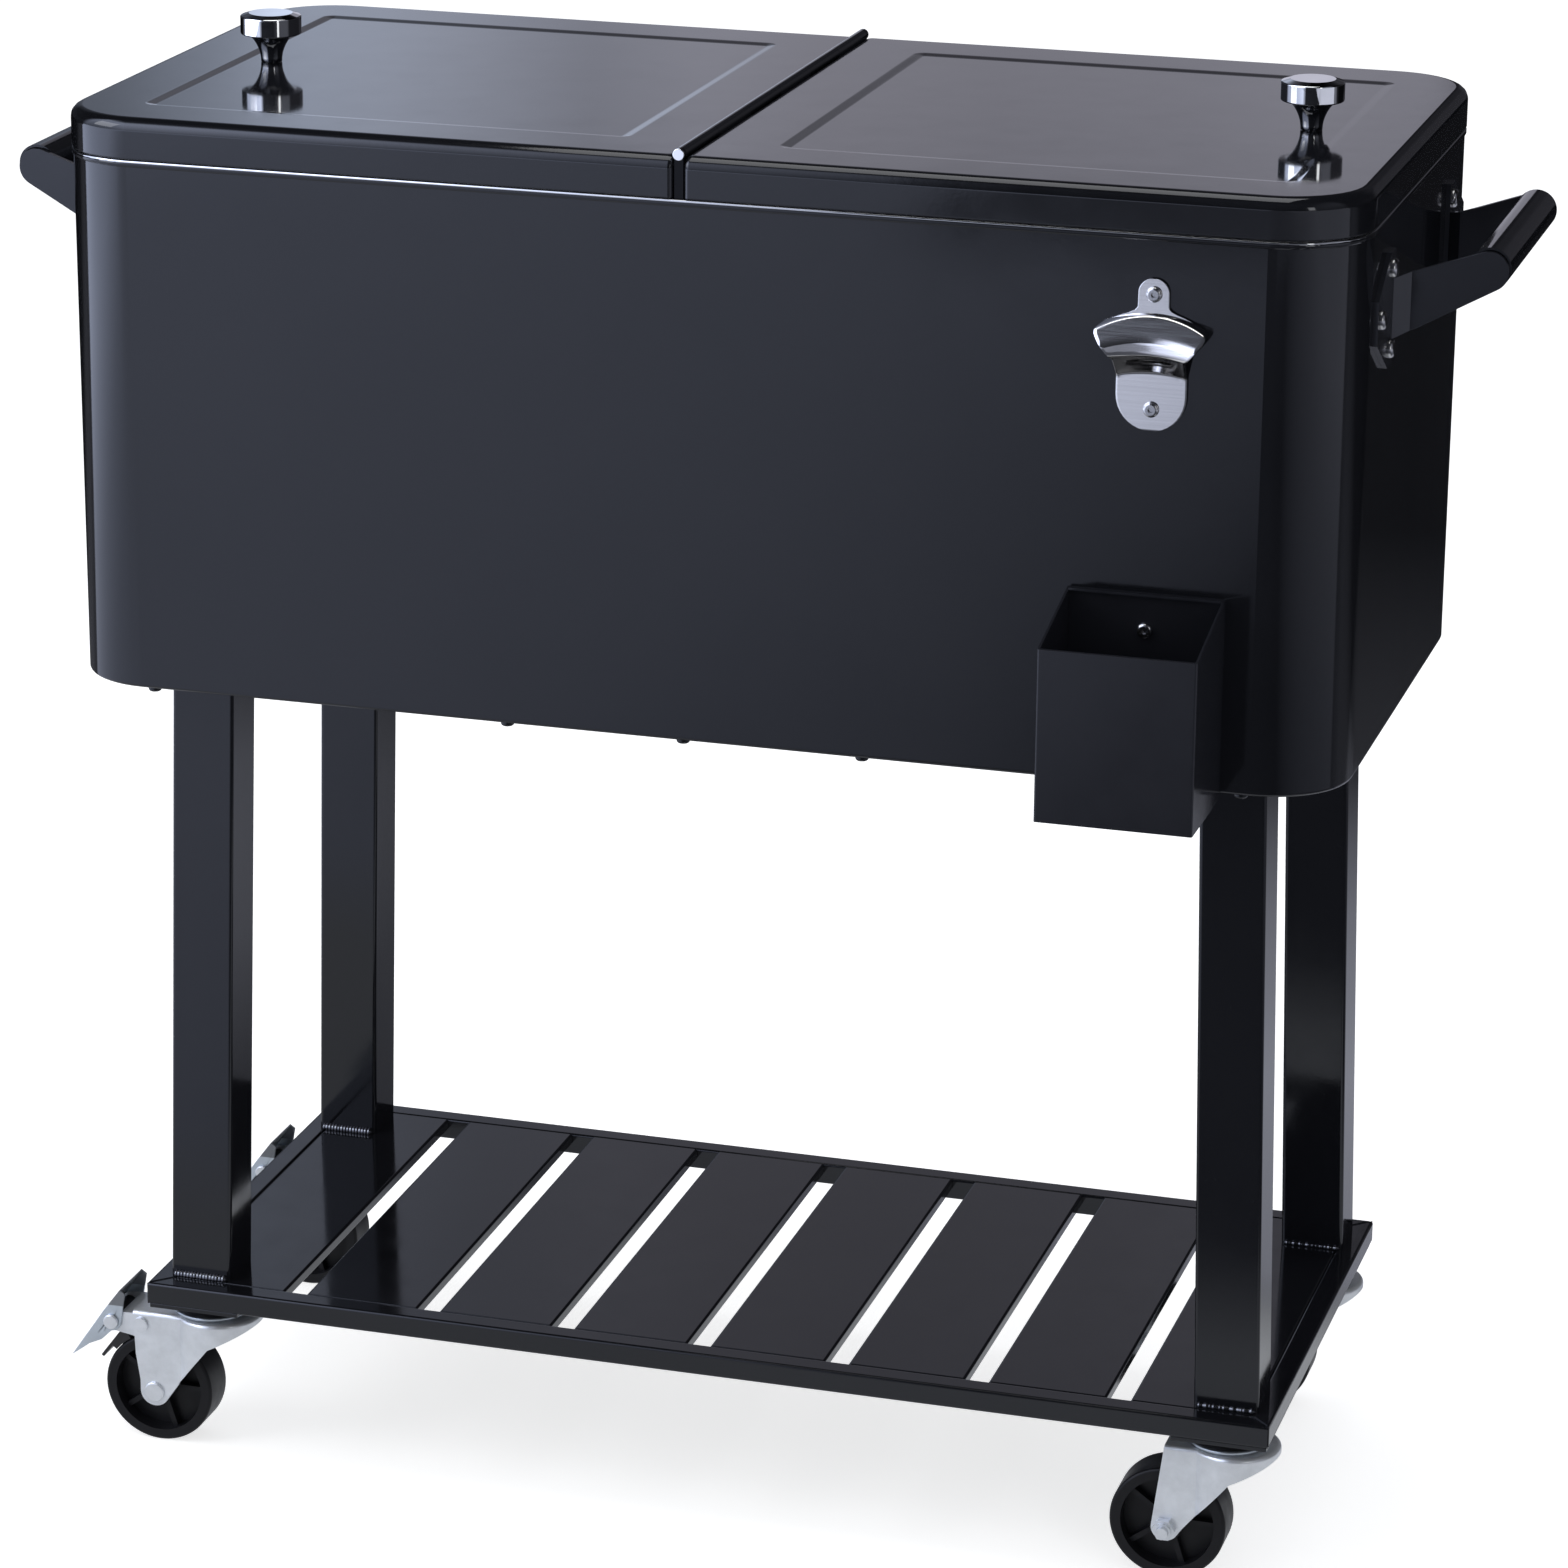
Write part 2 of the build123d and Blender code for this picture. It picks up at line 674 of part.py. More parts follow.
for name, end in ends:
    # Outer sheet of the lid
    with BuildPart() as lid_cavity:
        add(lid_form(end, lid_sheet))
        add(panel_form(end, lid_sheet), mode=Mode.SUBTRACT)
    with BuildPart() as lid_shell:
        add(lid_form(end, 0))
        add(panel_form(end, 0), mode=Mode.SUBTRACT)
        add(lid_cavity.part, mode=Mode.SUBTRACT)
        with BuildSketch(level(lid_bottom)):
            with Locations((end * knob_place, 0)):
                Circle(knob_stud_radius + running_gap)
        extrude(amount=lid_height, mode=Mode.SUBTRACT)
    lid_shell.part.label = f"lid_shell_{name}"
    export_step(lid_shell.part, f"parts/lid_shell_{name}.step")

    # Moulded pan that closes the lid from below and drops into the tub's mouth
    with BuildPart() as lid_pan:
        with BuildSketch(level(lid_bottom)):
            lid_outline(end, lid_sheet + seat_gap)
        extrude(amount=lid_pan_sheet)
        with BuildSketch(level(lid_bottom - plug_drop)):
            plug_outline(end, 0)
        extrude(amount=plug_drop + lid_pan_sheet)
        fillet(faces().sort_by(Axis.Z)[0].edges(), lid_pan_sheet)
        with BuildSketch(level(lid_bottom - plug_drop + lid_pan_sheet)):
            plug_outline(end, lid_pan_sheet)
        extrude(amount=plug_drop, mode=Mode.SUBTRACT)
    lid_pan.part.label = f"lid_pan_{name}"
    export_step(lid_pan.part, f"parts/lid_pan_{name}.step")

    # Insulation inside the lid, with room for the knob's stud
    with BuildPart() as lid_foam:
        add(lid_form(end, lid_sheet + seat_gap))
        add(panel_form(end, lid_sheet + seat_gap), mode=Mode.SUBTRACT)
        with BuildSketch(level(lid_bottom)):
            Rectangle(2 * case_length, 2 * case_depth)
        extrude(amount=lid_pan_sheet, mode=Mode.SUBTRACT)
        with BuildSketch(level(lid_bottom - plug_drop + lid_pan_sheet)):
            plug_outline(end, lid_pan_sheet + seat_gap)
        extrude(amount=plug_drop)
        with BuildSketch(level(lid_top)):
            with Locations((end * knob_place, 0)):
                Circle(knob_stud_radius + seat_gap)
        extrude(amount=-(panel_depth + knob_stud_length + seat_gap), mode=Mode.SUBTRACT)
    lid_foam.part.label = f"lid_foam_{name}"
    export_step(lid_foam.part, f"parts/lid_foam_{name}.step")

    # Hinge leaf against the lid's end wall, with every other knuckle on the pin
    with BuildPart() as hinge_leaf:
        leaf_middle = hinge_x + end * (lid_seam_half - leaf_thickness / 2)
        leaf_top = pin_height - leaf_cut_back
        leaf_bottom = lid_bottom + leaf_foot
        with BuildSketch(facing_front(0)):
            with Locations((leaf_middle, (leaf_top + leaf_bottom) / 2)):
                Rectangle(leaf_thickness, leaf_top - leaf_bottom)
        extrude(amount=leaf_half, both=True)
        for knuckle in range(knuckles):
            if knuckle % 2 == (end + 1) // 2:
                near_end = knuckle * knuckle_pitch - leaf_half + knuckle_gap / 2
                with BuildSketch(facing_front(near_end)):
                    with Locations((leaf_middle, pin_height - leaf_cut_back / 2)):
                        Rectangle(leaf_thickness, leaf_cut_back)
                    with Locations((hinge_x, pin_height)):
                        Circle(barrel_radius)
                        Circle(pin_radius + running_gap, mode=Mode.SUBTRACT)
                extrude(amount=knuckle_gap - knuckle_pitch)
    hinge_leaf.part.label = f"hinge_leaf_{name}"
    export_step(hinge_leaf.part, f"parts/hinge_leaf_{name}.step")

    # Turned knob: a flaring stem under a thick cap with a coned crown, and a stud through the lid
    knob_plane = Plane(origin=(end * knob_place, case_y, lid_top), x_dir=(1, 0, 0), z_dir=(0, -1, 0))
    cap_top = knob_neck_height + knob_cap_height
    with BuildPart() as lid_knob:
        with BuildSketch(knob_plane):
            with BuildLine():
                Line((0, -panel_depth), (knob_foot_radius, -panel_depth))
                ThreePointArc(
                    (knob_foot_radius, -panel_depth),
                    (knob_waist_radius, knob_neck_height / 2),
                    (knob_neck_radius, knob_neck_height),
                )
                Line((knob_neck_radius, knob_neck_height), (knob_cap_radius, knob_neck_height))
                Line((knob_cap_radius, knob_neck_height), (knob_cap_radius, cap_top))
                Line((knob_cap_radius, cap_top), (knob_crown_radius, cap_top + knob_crown_height))
                Line((knob_crown_radius, cap_top + knob_crown_height), (0, cap_top + knob_crown_height))
                Line((0, cap_top + knob_crown_height), (0, -panel_depth))
            make_face()
        revolve(axis=Axis((end * knob_place, case_y, 0), (0, 0, 1)))
        fillet(faces().filter_by(GeomType.CYLINDER).edges().filter_by(GeomType.CIRCLE), knob_edge_radius)
        with BuildSketch(level(panel_floor)):
            with Locations((end * knob_place, 0)):
                Circle(knob_stud_radius)
        extrude(amount=-knob_stud_length)
    lid_knob.part.label = f"lid_knob_{name}"
    export_step(lid_knob.part, f"parts/lid_knob_{name}.step")

# Handles: at each end two folded brackets, bolted on, that hold a tube between them
arm_middle = arm_outer - arm_sheet / 2
plate_middle = half_length + arm_sheet / 2
end_circle_x = grip_place - arm_end_back
end_circle_z = grip_height - arm_end_low
knee_x = half_length + arm_sheet + arm_knee_out
lower_edge = Vector(end_circle_x - knee_x, end_circle_z - arm_end_radius - arm_knee_bottom, 0).normalized()
upper_edge = Vector(end_circle_x - knee_x, end_circle_z + arm_end_radius - arm_knee_top, 0).normalized()

for name, end in ends:
    with BuildPart() as handle_brackets:
        with BuildSketch(level(arm_root_bottom)):
            for _, side in sides:
                with BuildLine():
                    Polyline(
                        (end * (grip_place + grip_radius), side * arm_middle),
                        (end * (plate_middle + arm_bevel), side * arm_middle),
                        (end * plate_middle, side * (arm_middle + arm_bevel)),
                        (end * plate_middle, side * (arm_middle + arm_bevel + arm_sheet)),
                    )
                trace(line_width=arm_sheet)
        extrude(amount=flange_top - arm_root_bottom)
        with BuildSketch(facing_front(0)) as arm_side:
            Polygon(
                (end * half_length, arm_root_bottom),
                (end * knee_x, arm_knee_bottom),
                (
                    end * (end_circle_x + arm_end_radius * lower_edge.Y),
                    end_circle_z - arm_end_radius * lower_edge.X,
                ),
                (end * end_circle_x, end_circle_z),
                (
                    end * (end_circle_x - arm_end_radius * upper_edge.Y),
                    end_circle_z + arm_end_radius * upper_edge.X,
                ),
                (end * knee_x, arm_knee_top),
                (end * half_length, arm_root_top),
                align=None,
            )
            with Locations((end * end_circle_x, end_circle_z)):
                Circle(arm_end_radius)
        extrude(amount=case_depth, both=True, mode=Mode.INTERSECT)
        with BuildSketch(facing_right(end * half_length)):
            for _, side in sides:
                Polygon(
                    (side * flange_near, flange_bottom),
                    (side * flange_top_corner, flange_bottom),
                    (side * flange_far, flange_far_bottom),
                    (side * flange_far, flange_far_top),
                    (side * flange_top_corner, flange_top),
                    (side * flange_near, flange_top),
                    align=None,
                )
        extrude(amount=end * arm_sheet)
        with BuildSketch(facing_right(end * half_length)):
            with Locations(*handle_bolt_places):
                Circle(bolt_radius + running_gap)
        extrude(amount=end * arm_sheet, mode=Mode.SUBTRACT)
    handle_brackets.part.label = f"handle_brackets_{name}"
    export_step(handle_brackets.part, f"parts/handle_brackets_{name}.step")

    with BuildPart() as handle_grip:
        with BuildSketch(facing_front(0)):
            with Locations((end * grip_place, grip_height)):
                Circle(grip_radius)
                Circle(grip_radius - grip_wall, mode=Mode.SUBTRACT)
        extrude(amount=arm_outer - arm_sheet, both=True)
    handle_grip.part.label = f"handle_grip_{name}"
    export_step(handle_grip.part, f"parts/handle_grip_{name}.step")

# Domed bolts of the handle brackets
with BuildPart() as handle_bolt:
    with BuildSketch(Plane.XY):
        Circle(bolt_head_radius)
    extrude(amount=bolt_head_height)
    fillet(faces().sort_by(Axis.Z)[-1].edges(), bolt_dome_radius)
    with BuildSketch(Plane.XY):
        Circle(bolt_radius)
    extrude(amount=-bolt_length)
with BuildPart() as handle_bolts:
    for _, end in ends:
        for y, z in handle_bolt_places:
            spot = (end * (half_length + arm_sheet), case_y + y, z)
            with Locations(Plane(origin=spot, x_dir=(0, 1, 0), z_dir=(end, 0, 0))):
                add(handle_bolt.part)
handle_bolts.part.label = "handle_bolts"
export_step(handle_bolts.part, "parts/handle_bolts.step")

# Bottle opener: one pressed strip that swells into a hooded lip and returns to the wall below it. Its bends are
# arched, and the lower edge of the slot under the lip is turned out into a tooth.
opener_skin = opener_sheet / 2
opener_face = case_y - half_depth
opener_plane = Plane(origin=(opener_place, opener_face, rim_top), x_dir=(0, -1, 0), z_dir=(-1, 0, 0))
opener_front = Plane(origin=(opener_place, opener_face, rim_top), x_dir=(1, 0, 0), z_dir=(0, -1, 0))
opener_arch_axis = Axis((opener_place, opener_face, opener_lip_height - opener_arch_radius), (0, 1, 0))
slot_reach = opener_lip_reach * (opener_throat_drop - opener_slot_drop) / (opener_throat_drop - opener_lip_drop)
with BuildPart() as opener_tooth:
    with BuildSketch(opener_plane):
        with Locations((slot_reach, -opener_slot_drop - opener_slot_height / 2 - opener_tooth_radius / 2)):
            Circle(opener_tooth_radius)
    revolve(axis=opener_arch_axis)
    with BuildSketch(opener_front):
        with Locations((0, -opener_slot_drop)):
            Rectangle(2 * opener_slot_half, 6 * opener_slot_height)
    extrude(amount=2 * opener_lip_reach, mode=Mode.INTERSECT)
with BuildPart() as bottle_opener:
    with BuildSketch(opener_plane):
        with BuildLine():
            FilletPolyline(
                (opener_skin, -opener_top_drop),
                (opener_skin, -opener_neck_drop),
                (opener_skin + opener_rise, -opener_hood_drop),
                (opener_crease_reach, -opener_crease_drop),
                (opener_lip_reach, -opener_lip_drop),
                (opener_skin, -opener_throat_drop),
                (opener_skin, -opener_bottom_drop),
                radius=opener_bend_radius,
            )
        trace(line_width=opener_sheet)
    revolve(axis=opener_arch_axis)
    with BuildSketch(opener_front):
        Polygon(
            (-opener_tab_half, -opener_top_drop - opener_tab_half),
            (-opener_tab_half, -opener_shoulder_drop),
            (-opener_tip_half, -opener_tip_drop),
            (-opener_lip_half, -opener_lip_corner_drop),
            (-opener_plate_half, -opener_throat_corner_drop),
            (-opener_plate_half, opener_plate_half - opener_bottom_drop),
            (opener_plate_half, opener_plate_half - opener_bottom_drop),
            (opener_plate_half, -opener_throat_corner_drop),
            (opener_lip_half, -opener_lip_corner_drop),
            (opener_tip_half, -opener_tip_drop),
            (opener_tab_half, -opener_shoulder_drop),
            (opener_tab_half, -opener_top_drop - opener_tab_half),
            align=None,
        )
        with Locations((0, -opener_top_drop - opener_tab_half)):
            Circle(opener_tab_half)
        with Locations((0, opener_plate_half - opener_bottom_drop)):
            Circle(opener_plate_half)
    extrude(amount=2 * opener_lip_reach, mode=Mode.INTERSECT)
    with BuildSketch(opener_front):
        with Locations((0, -opener_arch_radius - opener_lip_drop)):
            Circle(opener_arch_radius + opener_lip_drop - opener_slot_drop + opener_slot_height / 2)
            Circle(
                opener_arch_radius + opener_lip_drop - opener_slot_drop - opener_slot_height / 2,
                mode=Mode.SUBTRACT,
            )
        with Locations((0, -opener_slot_drop)):
            Rectangle(2 * opener_slot_half, 6 * opener_slot_height, mode=Mode.INTERSECT)
    extrude(amount=2 * opener_lip_reach, mode=Mode.SUBTRACT)
    with BuildSketch(opener_front):
        with Locations(*[(0, -drop) for drop in opener_screw_drops]):
            Circle(front_screw_radius + running_gap)
    extrude(amount=2 * opener_lip_reach, mode=Mode.SUBTRACT)
    add(opener_tooth.part)
bottle_opener.part.label = "bottle_opener"
export_step(bottle_opener.part, "parts/bottle_opener.step")

# Cap catcher: a folded sheet box, open at its sloped top, with a lip turned forward along its back
catcher_side = Plane(origin=(catcher_place, case_y - half_depth, 0), x_dir=(0, -1, 0), z_dir=(-1, 0, 0))
with BuildPart() as cap_catcher:
    with BuildSketch(catcher_side):
        Polygon(
            (0, catcher_bottom),
            (catcher_reach, catcher_bottom),
            (catcher_reach, catcher_front_top),
            (0, catcher_back_top),
            align=None,
        )
    extrude(amount=catcher_width / 2, both=True)
    fillet(edges().filter_by(Axis.Z).group_by(Axis.Y)[0], catcher_edge_radius)
    with BuildSketch(level(catcher_bottom + catcher_sheet)):
        with Locations((catcher_place, -half_depth - catcher_reach / 2)):
            Rectangle(catcher_width - 2 * catcher_sheet, catcher_reach - 2 * catcher_sheet)
    extrude(amount=catcher_back_top, mode=Mode.SUBTRACT)
    with BuildSketch(level(catcher_back_top - catcher_sheet)):
        with Locations((catcher_place, -half_depth - catcher_lip / 2)):
            Rectangle(catcher_width - 2 * catcher_sheet, catcher_lip)
    extrude(amount=catcher_sheet)
    with BuildSketch(facing_front(-half_depth)):
        with Locations((catcher_place, catcher_screw_height)):
            Circle(front_screw_radius + running_gap)
    extrude(amount=catcher_lip, mode=Mode.SUBTRACT)
cap_catcher.part.label = "cap_catcher"
export_step(cap_catcher.part, "parts/cap_catcher.step")

# Button screws with a hexagonal socket, two in the opener and one in the catcher
with BuildPart() as front_screw:
    with BuildSketch(Plane.XY):
        Circle(front_screw_head_radius)
    extrude(amount=front_screw_head)
    fillet(faces().sort_by(Axis.Z)[-1].edges(), front_screw_dome)
    with BuildSketch(Plane.XY.offset(front_screw_head)):
        RegularPolygon(front_screw_socket, 6)
    extrude(amount=-front_screw_socket_depth, mode=Mode.SUBTRACT)
    with BuildSketch(Plane.XY):
        Circle(front_screw_radius)
    extrude(amount=-front_screw_length)
with BuildPart() as front_screws:
    for (x, z), step in zip(front_screw_places, front_screw_steps):
        spot = (x, case_y - half_depth - step, z)
        with Locations(Plane(origin=spot, x_dir=(1, 0, 0), z_dir=(0, -1, 0))):
            add(front_screw.part)
front_screws.part.label = "front_screws"
export_step(front_screws.part, "parts/front_screws.step")

# Drain: a tube through the left end wall at the tub's floor, flush inside and flanged outside, and a ribbed
# cap over its end
with BuildPart() as drain_tube:
    with BuildSketch(facing_right(-half_length - drain_reach)):
        with Locations((0, drain_height)):
            Circle(drain_tube_radius)
    extrude(amount=drain_reach + 2 * wall_thickness)
    add(tub_form(0), mode=Mode.SUBTRACT)
    with BuildSketch(facing_right(-half_length)):
        with Locations((0, drain_height)):
            Circle(drain_flange_radius)
    extrude(amount=-drain_flange)
    with BuildSketch(facing_right(0)):
        with Locations((0, drain_height)):
            Circle(drain_bore)
    extrude(amount=-case_length, mode=Mode.SUBTRACT)
drain_tube.part.label = "drain_tube"
export_step(drain_tube.part, "parts/drain_tube.step")

cap_start = half_length + drain_flange + seat_gap
cap_end = half_length + drain_reach + seat_gap + drain_cap_wall
with BuildPart() as drain_cap:
    with BuildSketch(facing_right(-cap_start)):
        with Locations((0, drain_height)):
            Circle(drain_cap_radius)
            with PolarLocations(drain_cap_radius, drain_cap_lobes):
                Circle(drain_cap_lobe_radius)
    extrude(amount=cap_start - cap_end)
    with BuildSketch(facing_right(-cap_start)):
        with Locations((0, drain_height)):
            Circle(drain_tube_radius + seat_gap)
    extrude(amount=cap_start - cap_end + drain_cap_wall, mode=Mode.SUBTRACT)
drain_cap.part.label = "drain_cap"
export_step(drain_cap.part, "parts/drain_cap.step")

# Legs: rectangular tubes that lean inward, each closed by a bolted plate under the case
leg_top = pan_bottom - leg_plate_sheet
for end_name, end in ends:
    for side_name, side in sides:
        foot = (end * leg_foot_x, side * leg_foot_y)
        top = (end * leg_top_x, side * leg_top_y)
        with BuildPart() as leg:
            for inset, cut in ((0, Mode.ADD), (leg_wall, Mode.SUBTRACT)):
                for height, place in ((shelf_top, foot), (leg_top, top)):
                    with BuildSketch(level(height)):
                        with Locations(place):
                            RectangleRounded(
                                leg_width - 2 * inset, leg_depth - 2 * inset, leg_radius - inset
                            )
                loft(mode=cut)
            with BuildSketch(level(leg_top)):
                with Locations(top):
                    RectangleRounded(leg_plate_length, leg_plate_width, leg_plate_radius)
                with Locations(*leg_bolt_places):
                    Circle(leg_bolt_radius + running_gap, mode=Mode.SUBTRACT)
            extrude(amount=leg_plate_sheet)
        leg.part.label = f"leg_{side_name}_{end_name}"
        export_step(leg.part, f"parts/leg_{side_name}_{end_name}.step")

with BuildPart() as leg_bolts:
    with BuildSketch(level(leg_top - leg_bolt_head)):
        with Locations(*leg_bolt_places):
            RegularPolygon(leg_bolt_flats / 2, 6, major_radius=False)
    extrude(amount=leg_bolt_head)
    with BuildSketch(level(leg_top)):
        with Locations(*leg_bolt_places):
            Circle(leg_bolt_radius)
    extrude(amount=leg_bolt_length)
leg_bolts.part.label = "leg_bolts"
export_step(leg_bolts.part, "parts/leg_bolts.step")

# Shelf rails: square tube, mitred at the four corners
corner = (shelf_length / 2, shelf_depth / 2)
for name, side in sides:
    with BuildPart() as rail:
        with BuildSketch(facing_right(0)):
            with Locations((side * (corner[1] - rail_size / 2), shelf_top - rail_size / 2)):
                RectangleRounded(rail_size, rail_size, rail_radius)
                Rectangle(rail_size - 2 * rail_wall, rail_size - 2 * rail_wall, mode=Mode.SUBTRACT)
        extrude(amount=corner[0], both=True)
        for end in (-1, 1):
            point = (end * corner[0], case_y + side * corner[1], shelf_top)
            split(bisect_by=Plane(origin=point, z_dir=(-end, side, 0)), keep=Keep.TOP)
    rail.part.label = f"shelf_rail_{name}"
    export_step(rail.part, f"parts/shelf_rail_{name}.step")

for name, end in ends:
    with BuildPart() as rail:
        with BuildSketch(facing_front(0)):
            with Locations((end * (corner[0] - rail_size / 2), shelf_top - rail_size / 2)):
                RectangleRounded(rail_size, rail_size, rail_radius)
                Rectangle(rail_size - 2 * rail_wall, rail_size - 2 * rail_wall, mode=Mode.SUBTRACT)
        extrude(amount=corner[1], both=True)
        for side in (-1, 1):
            point = (end * corner[0], case_y + side * corner[1], shelf_top)
            split(bisect_by=Plane(origin=point, z_dir=(end, -side, 0)), keep=Keep.TOP)
    rail.part.label = f"shelf_rail_{name}"
    export_step(rail.part, f"parts/shelf_rail_{name}.step")

# Shelf slats: shallow channels that run from the front rail to the back rail, tops flush
slat_places = [((step - (slats - 1) / 2) * slat_pitch, shelf_top - slat_lip / 2) for step in range(slats)]
with BuildPart() as shelf_slats:
    with BuildSketch(facing_front(0)):
        with Locations(*slat_places):
            Rectangle(slat_width, slat_lip)
    extrude(amount=rail_inner_y - seat_gap, both=True)
    fillet(edges().filter_by(Axis.Y).group_by(Axis.Z)[-1], slat_radius)
    with BuildSketch(facing_front(0)):
        for x, z in slat_places:
            with Locations((x, z - slat_sheet / 2)):
                Rectangle(slat_width - 2 * slat_sheet, slat_lip - slat_sheet)
    extrude(amount=rail_inner_y, both=True, mode=Mode.SUBTRACT)
shelf_slats.part.label = "shelf_slats"
export_step(shelf_slats.part, "parts/shelf_slats.step")

# Corner plates under the rails, each holding a caster's stem
corner_signs = [(end, side) for _, end in ends for _, side in sides]
swivel_places = [(end * swivel_x, case_y + side * swivel_y, 0) for end, side in corner_signs]
corner_plate_x = corner[0] - corner_plate_set_in - corner_plate_size / 2
corner_plate_y = corner[1] - corner_plate_set_in - corner_plate_size / 2
with BuildPart() as corner_plates:
    with BuildSketch(level(plate_bottom)):
        with Locations(*[(end * corner_plate_x, side * corner_plate_y) for end, side in corner_signs]):
            Rectangle(corner_plate_size, corner_plate_size)
        inner_corners = [
            corner_point
            for corner_point in vertices()
            if abs(corner_point.X) < corner_plate_x and abs(corner_point.Y - case_y) < corner_plate_y
        ]
        chamfer(inner_corners, corner_plate_chamfer)
        with Locations(*[(end * swivel_x, side * swivel_y) for end, side in corner_signs]):
            Circle(stem_radius + running_gap, mode=Mode.SUBTRACT)
    extrude(amount=corner_plate_sheet)
corner_plates.part.label = "corner_plates"
export_step(corner_plates.part, "parts/corner_plates.step")

# Caster stem: a headed king pin with the upper race, a dust cover, a hexagonal collar and a threaded end.
# It is drawn about the swivel axis, with z from the floor.
with BuildPart() as stem_form:
    with BuildSketch(Plane.XY.offset(crown_underside - seat_gap - swivel_head)):
        Circle(swivel_head_radius)
    extrude(amount=swivel_head)
    fillet(faces().sort_by(Axis.Z)[0].edges(), swivel_head / 2)
    with BuildSketch(Plane.XY.offset(crown_underside - seat_gap)):
        Circle(swivel_radius)
    extrude(amount=race_bottom - crown_underside + seat_gap)
    with BuildSketch(Plane.XY.offset(race_bottom)):
        Circle(race_radius)
    extrude(amount=race_height)
    fillet(edges().filter_by(GeomType.CIRCLE).group_by(SortBy.RADIUS)[-1], race_rim_radius)
    with BuildSketch(Plane.XY.offset(race_top)):
        Circle(dust_cover_radius)
    extrude(amount=dust_cover_height, taper=degrees(atan(race_height / dust_cover_height)))
    with BuildSketch(Plane.XY.offset(dust_cover_top)):
        RegularPolygon(collar_flats / 2, 6, major_radius=False)
    extrude(amount=plate_bottom - dust_cover_top)
    with BuildSketch(Plane.XY.offset(plate_bottom)):
        Circle(stem_radius)
    extrude(amount=corner_plate_sheet + stem_nut_height + stem_tail)
with BuildPart() as stem_nut:
    with BuildSketch(Plane.XY.offset(rail_bottom)):
        RegularPolygon(stem_nut_flats / 2, 6, major_radius=False)
        Circle(stem_radius + running_gap, mode=Mode.SUBTRACT)
    extrude(amount=stem_nut_height)
with BuildPart() as caster_stems:
    with Locations(*swivel_places):
        add(stem_form.part)
        add(stem_nut.part)
caster_stems.part.label = "caster_stems"
export_step(caster_stems.part, "parts/caster_stems.step")

# Ball rings between each fork's crown and its upper race
with BuildPart() as ball_ring:
    with BuildSketch(Plane.XY.offset(crown_top + running_gap)):
        Circle(ball_ring_radius + ball_ring_width / 2)
        Circle(ball_ring_radius - ball_ring_width / 2, mode=Mode.SUBTRACT)
    extrude(amount=race_gap - running_gap)
with BuildPart() as swivel_bearings:
    with Locations(*swivel_places):
        add(ball_ring.part)
swivel_bearings.part.label = "swivel_bearings"
export_step(swivel_bearings.part, "parts/swivel_bearings.step")

# Wheel, about its axle at the caster's trail: tread, dished web, ribs and a long hub
axle_plane = Plane(origin=(-trail, 0, wheel_radius), x_dir=(1, 0, 0), z_dir=(0, -1, 0))
hub_half = cheek_inner - seat_gap
with BuildPart() as wheel_form:
    with BuildSketch(axle_plane):
        Circle(wheel_radius)
    extrude(amount=wheel_width / 2, both=True)
    fillet(edges().filter_by(GeomType.CIRCLE), wheel_edge_radius)
    for face in (-1, 1):
        with BuildSketch(axle_plane.offset(face * wheel_width / 2)):
            Circle(wheel_radius - wheel_rim)
        extrude(amount=-face * (wheel_width - wheel_web) / 2, mode=Mode.SUBTRACT)
    with BuildSketch(axle_plane):
        with PolarLocations((wheel_radius - wheel_rim) / 2, wheel_spokes):
            Rectangle(wheel_radius - wheel_rim, wheel_spoke_width)
    extrude(amount=wheel_spoke_depth / 2, both=True)
    with BuildSketch(axle_plane):
        Circle(wheel_hub_radius)
    extrude(amount=hub_half, both=True)
    with BuildSketch(axle_plane):
        Circle(wheel_bore)
    extrude(amount=wheel_width, both=True, mode=Mode.SUBTRACT)

# Axle bolt with its collared lock nut in front, or a headed rivet on the casters with brakes
with BuildPart() as bolt_axle:
    with BuildSketch(axle_plane):
        Circle(axle_radius)
    extrude(amount=fork_half_width + axle_nut + axle_nut_collar + axle_tail)
    with BuildSketch(axle_plane):
        Circle(axle_radius)
    extrude(amount=-fork_half_width)
    with BuildSketch(axle_plane.offset(-fork_half_width)):
        RegularPolygon(axle_flats / 2, 6, major_radius=False)
    extrude(amount=-axle_head)
with BuildPart() as axle_nut_form:
    with BuildSketch(axle_plane.offset(fork_half_width)):
        RegularPolygon(axle_flats / 2, 6, major_radius=False)
        Circle(axle_radius + running_gap, mode=Mode.SUBTRACT)
    extrude(amount=axle_nut)
    with BuildSketch(axle_plane.offset(fork_half_width + axle_nut)):
        Circle(axle_nut_collar_radius)
        Circle(axle_radius + running_gap, mode=Mode.SUBTRACT)
    extrude(amount=axle_nut_collar)
with BuildPart() as rivet_axle:
    with BuildSketch(axle_plane):
        Circle(axle_radius)
    extrude(amount=fork_half_width, both=True)
    for face in (-1, 1):
        with BuildSketch(axle_plane.offset(face * fork_half_width)):
            Circle(rivet_head_radius)
        extrude(amount=face * rivet_head)
    fillet(edges().group_by(Axis.Y)[0] + edges().group_by(Axis.Y)[-1], rivet_head / 2)

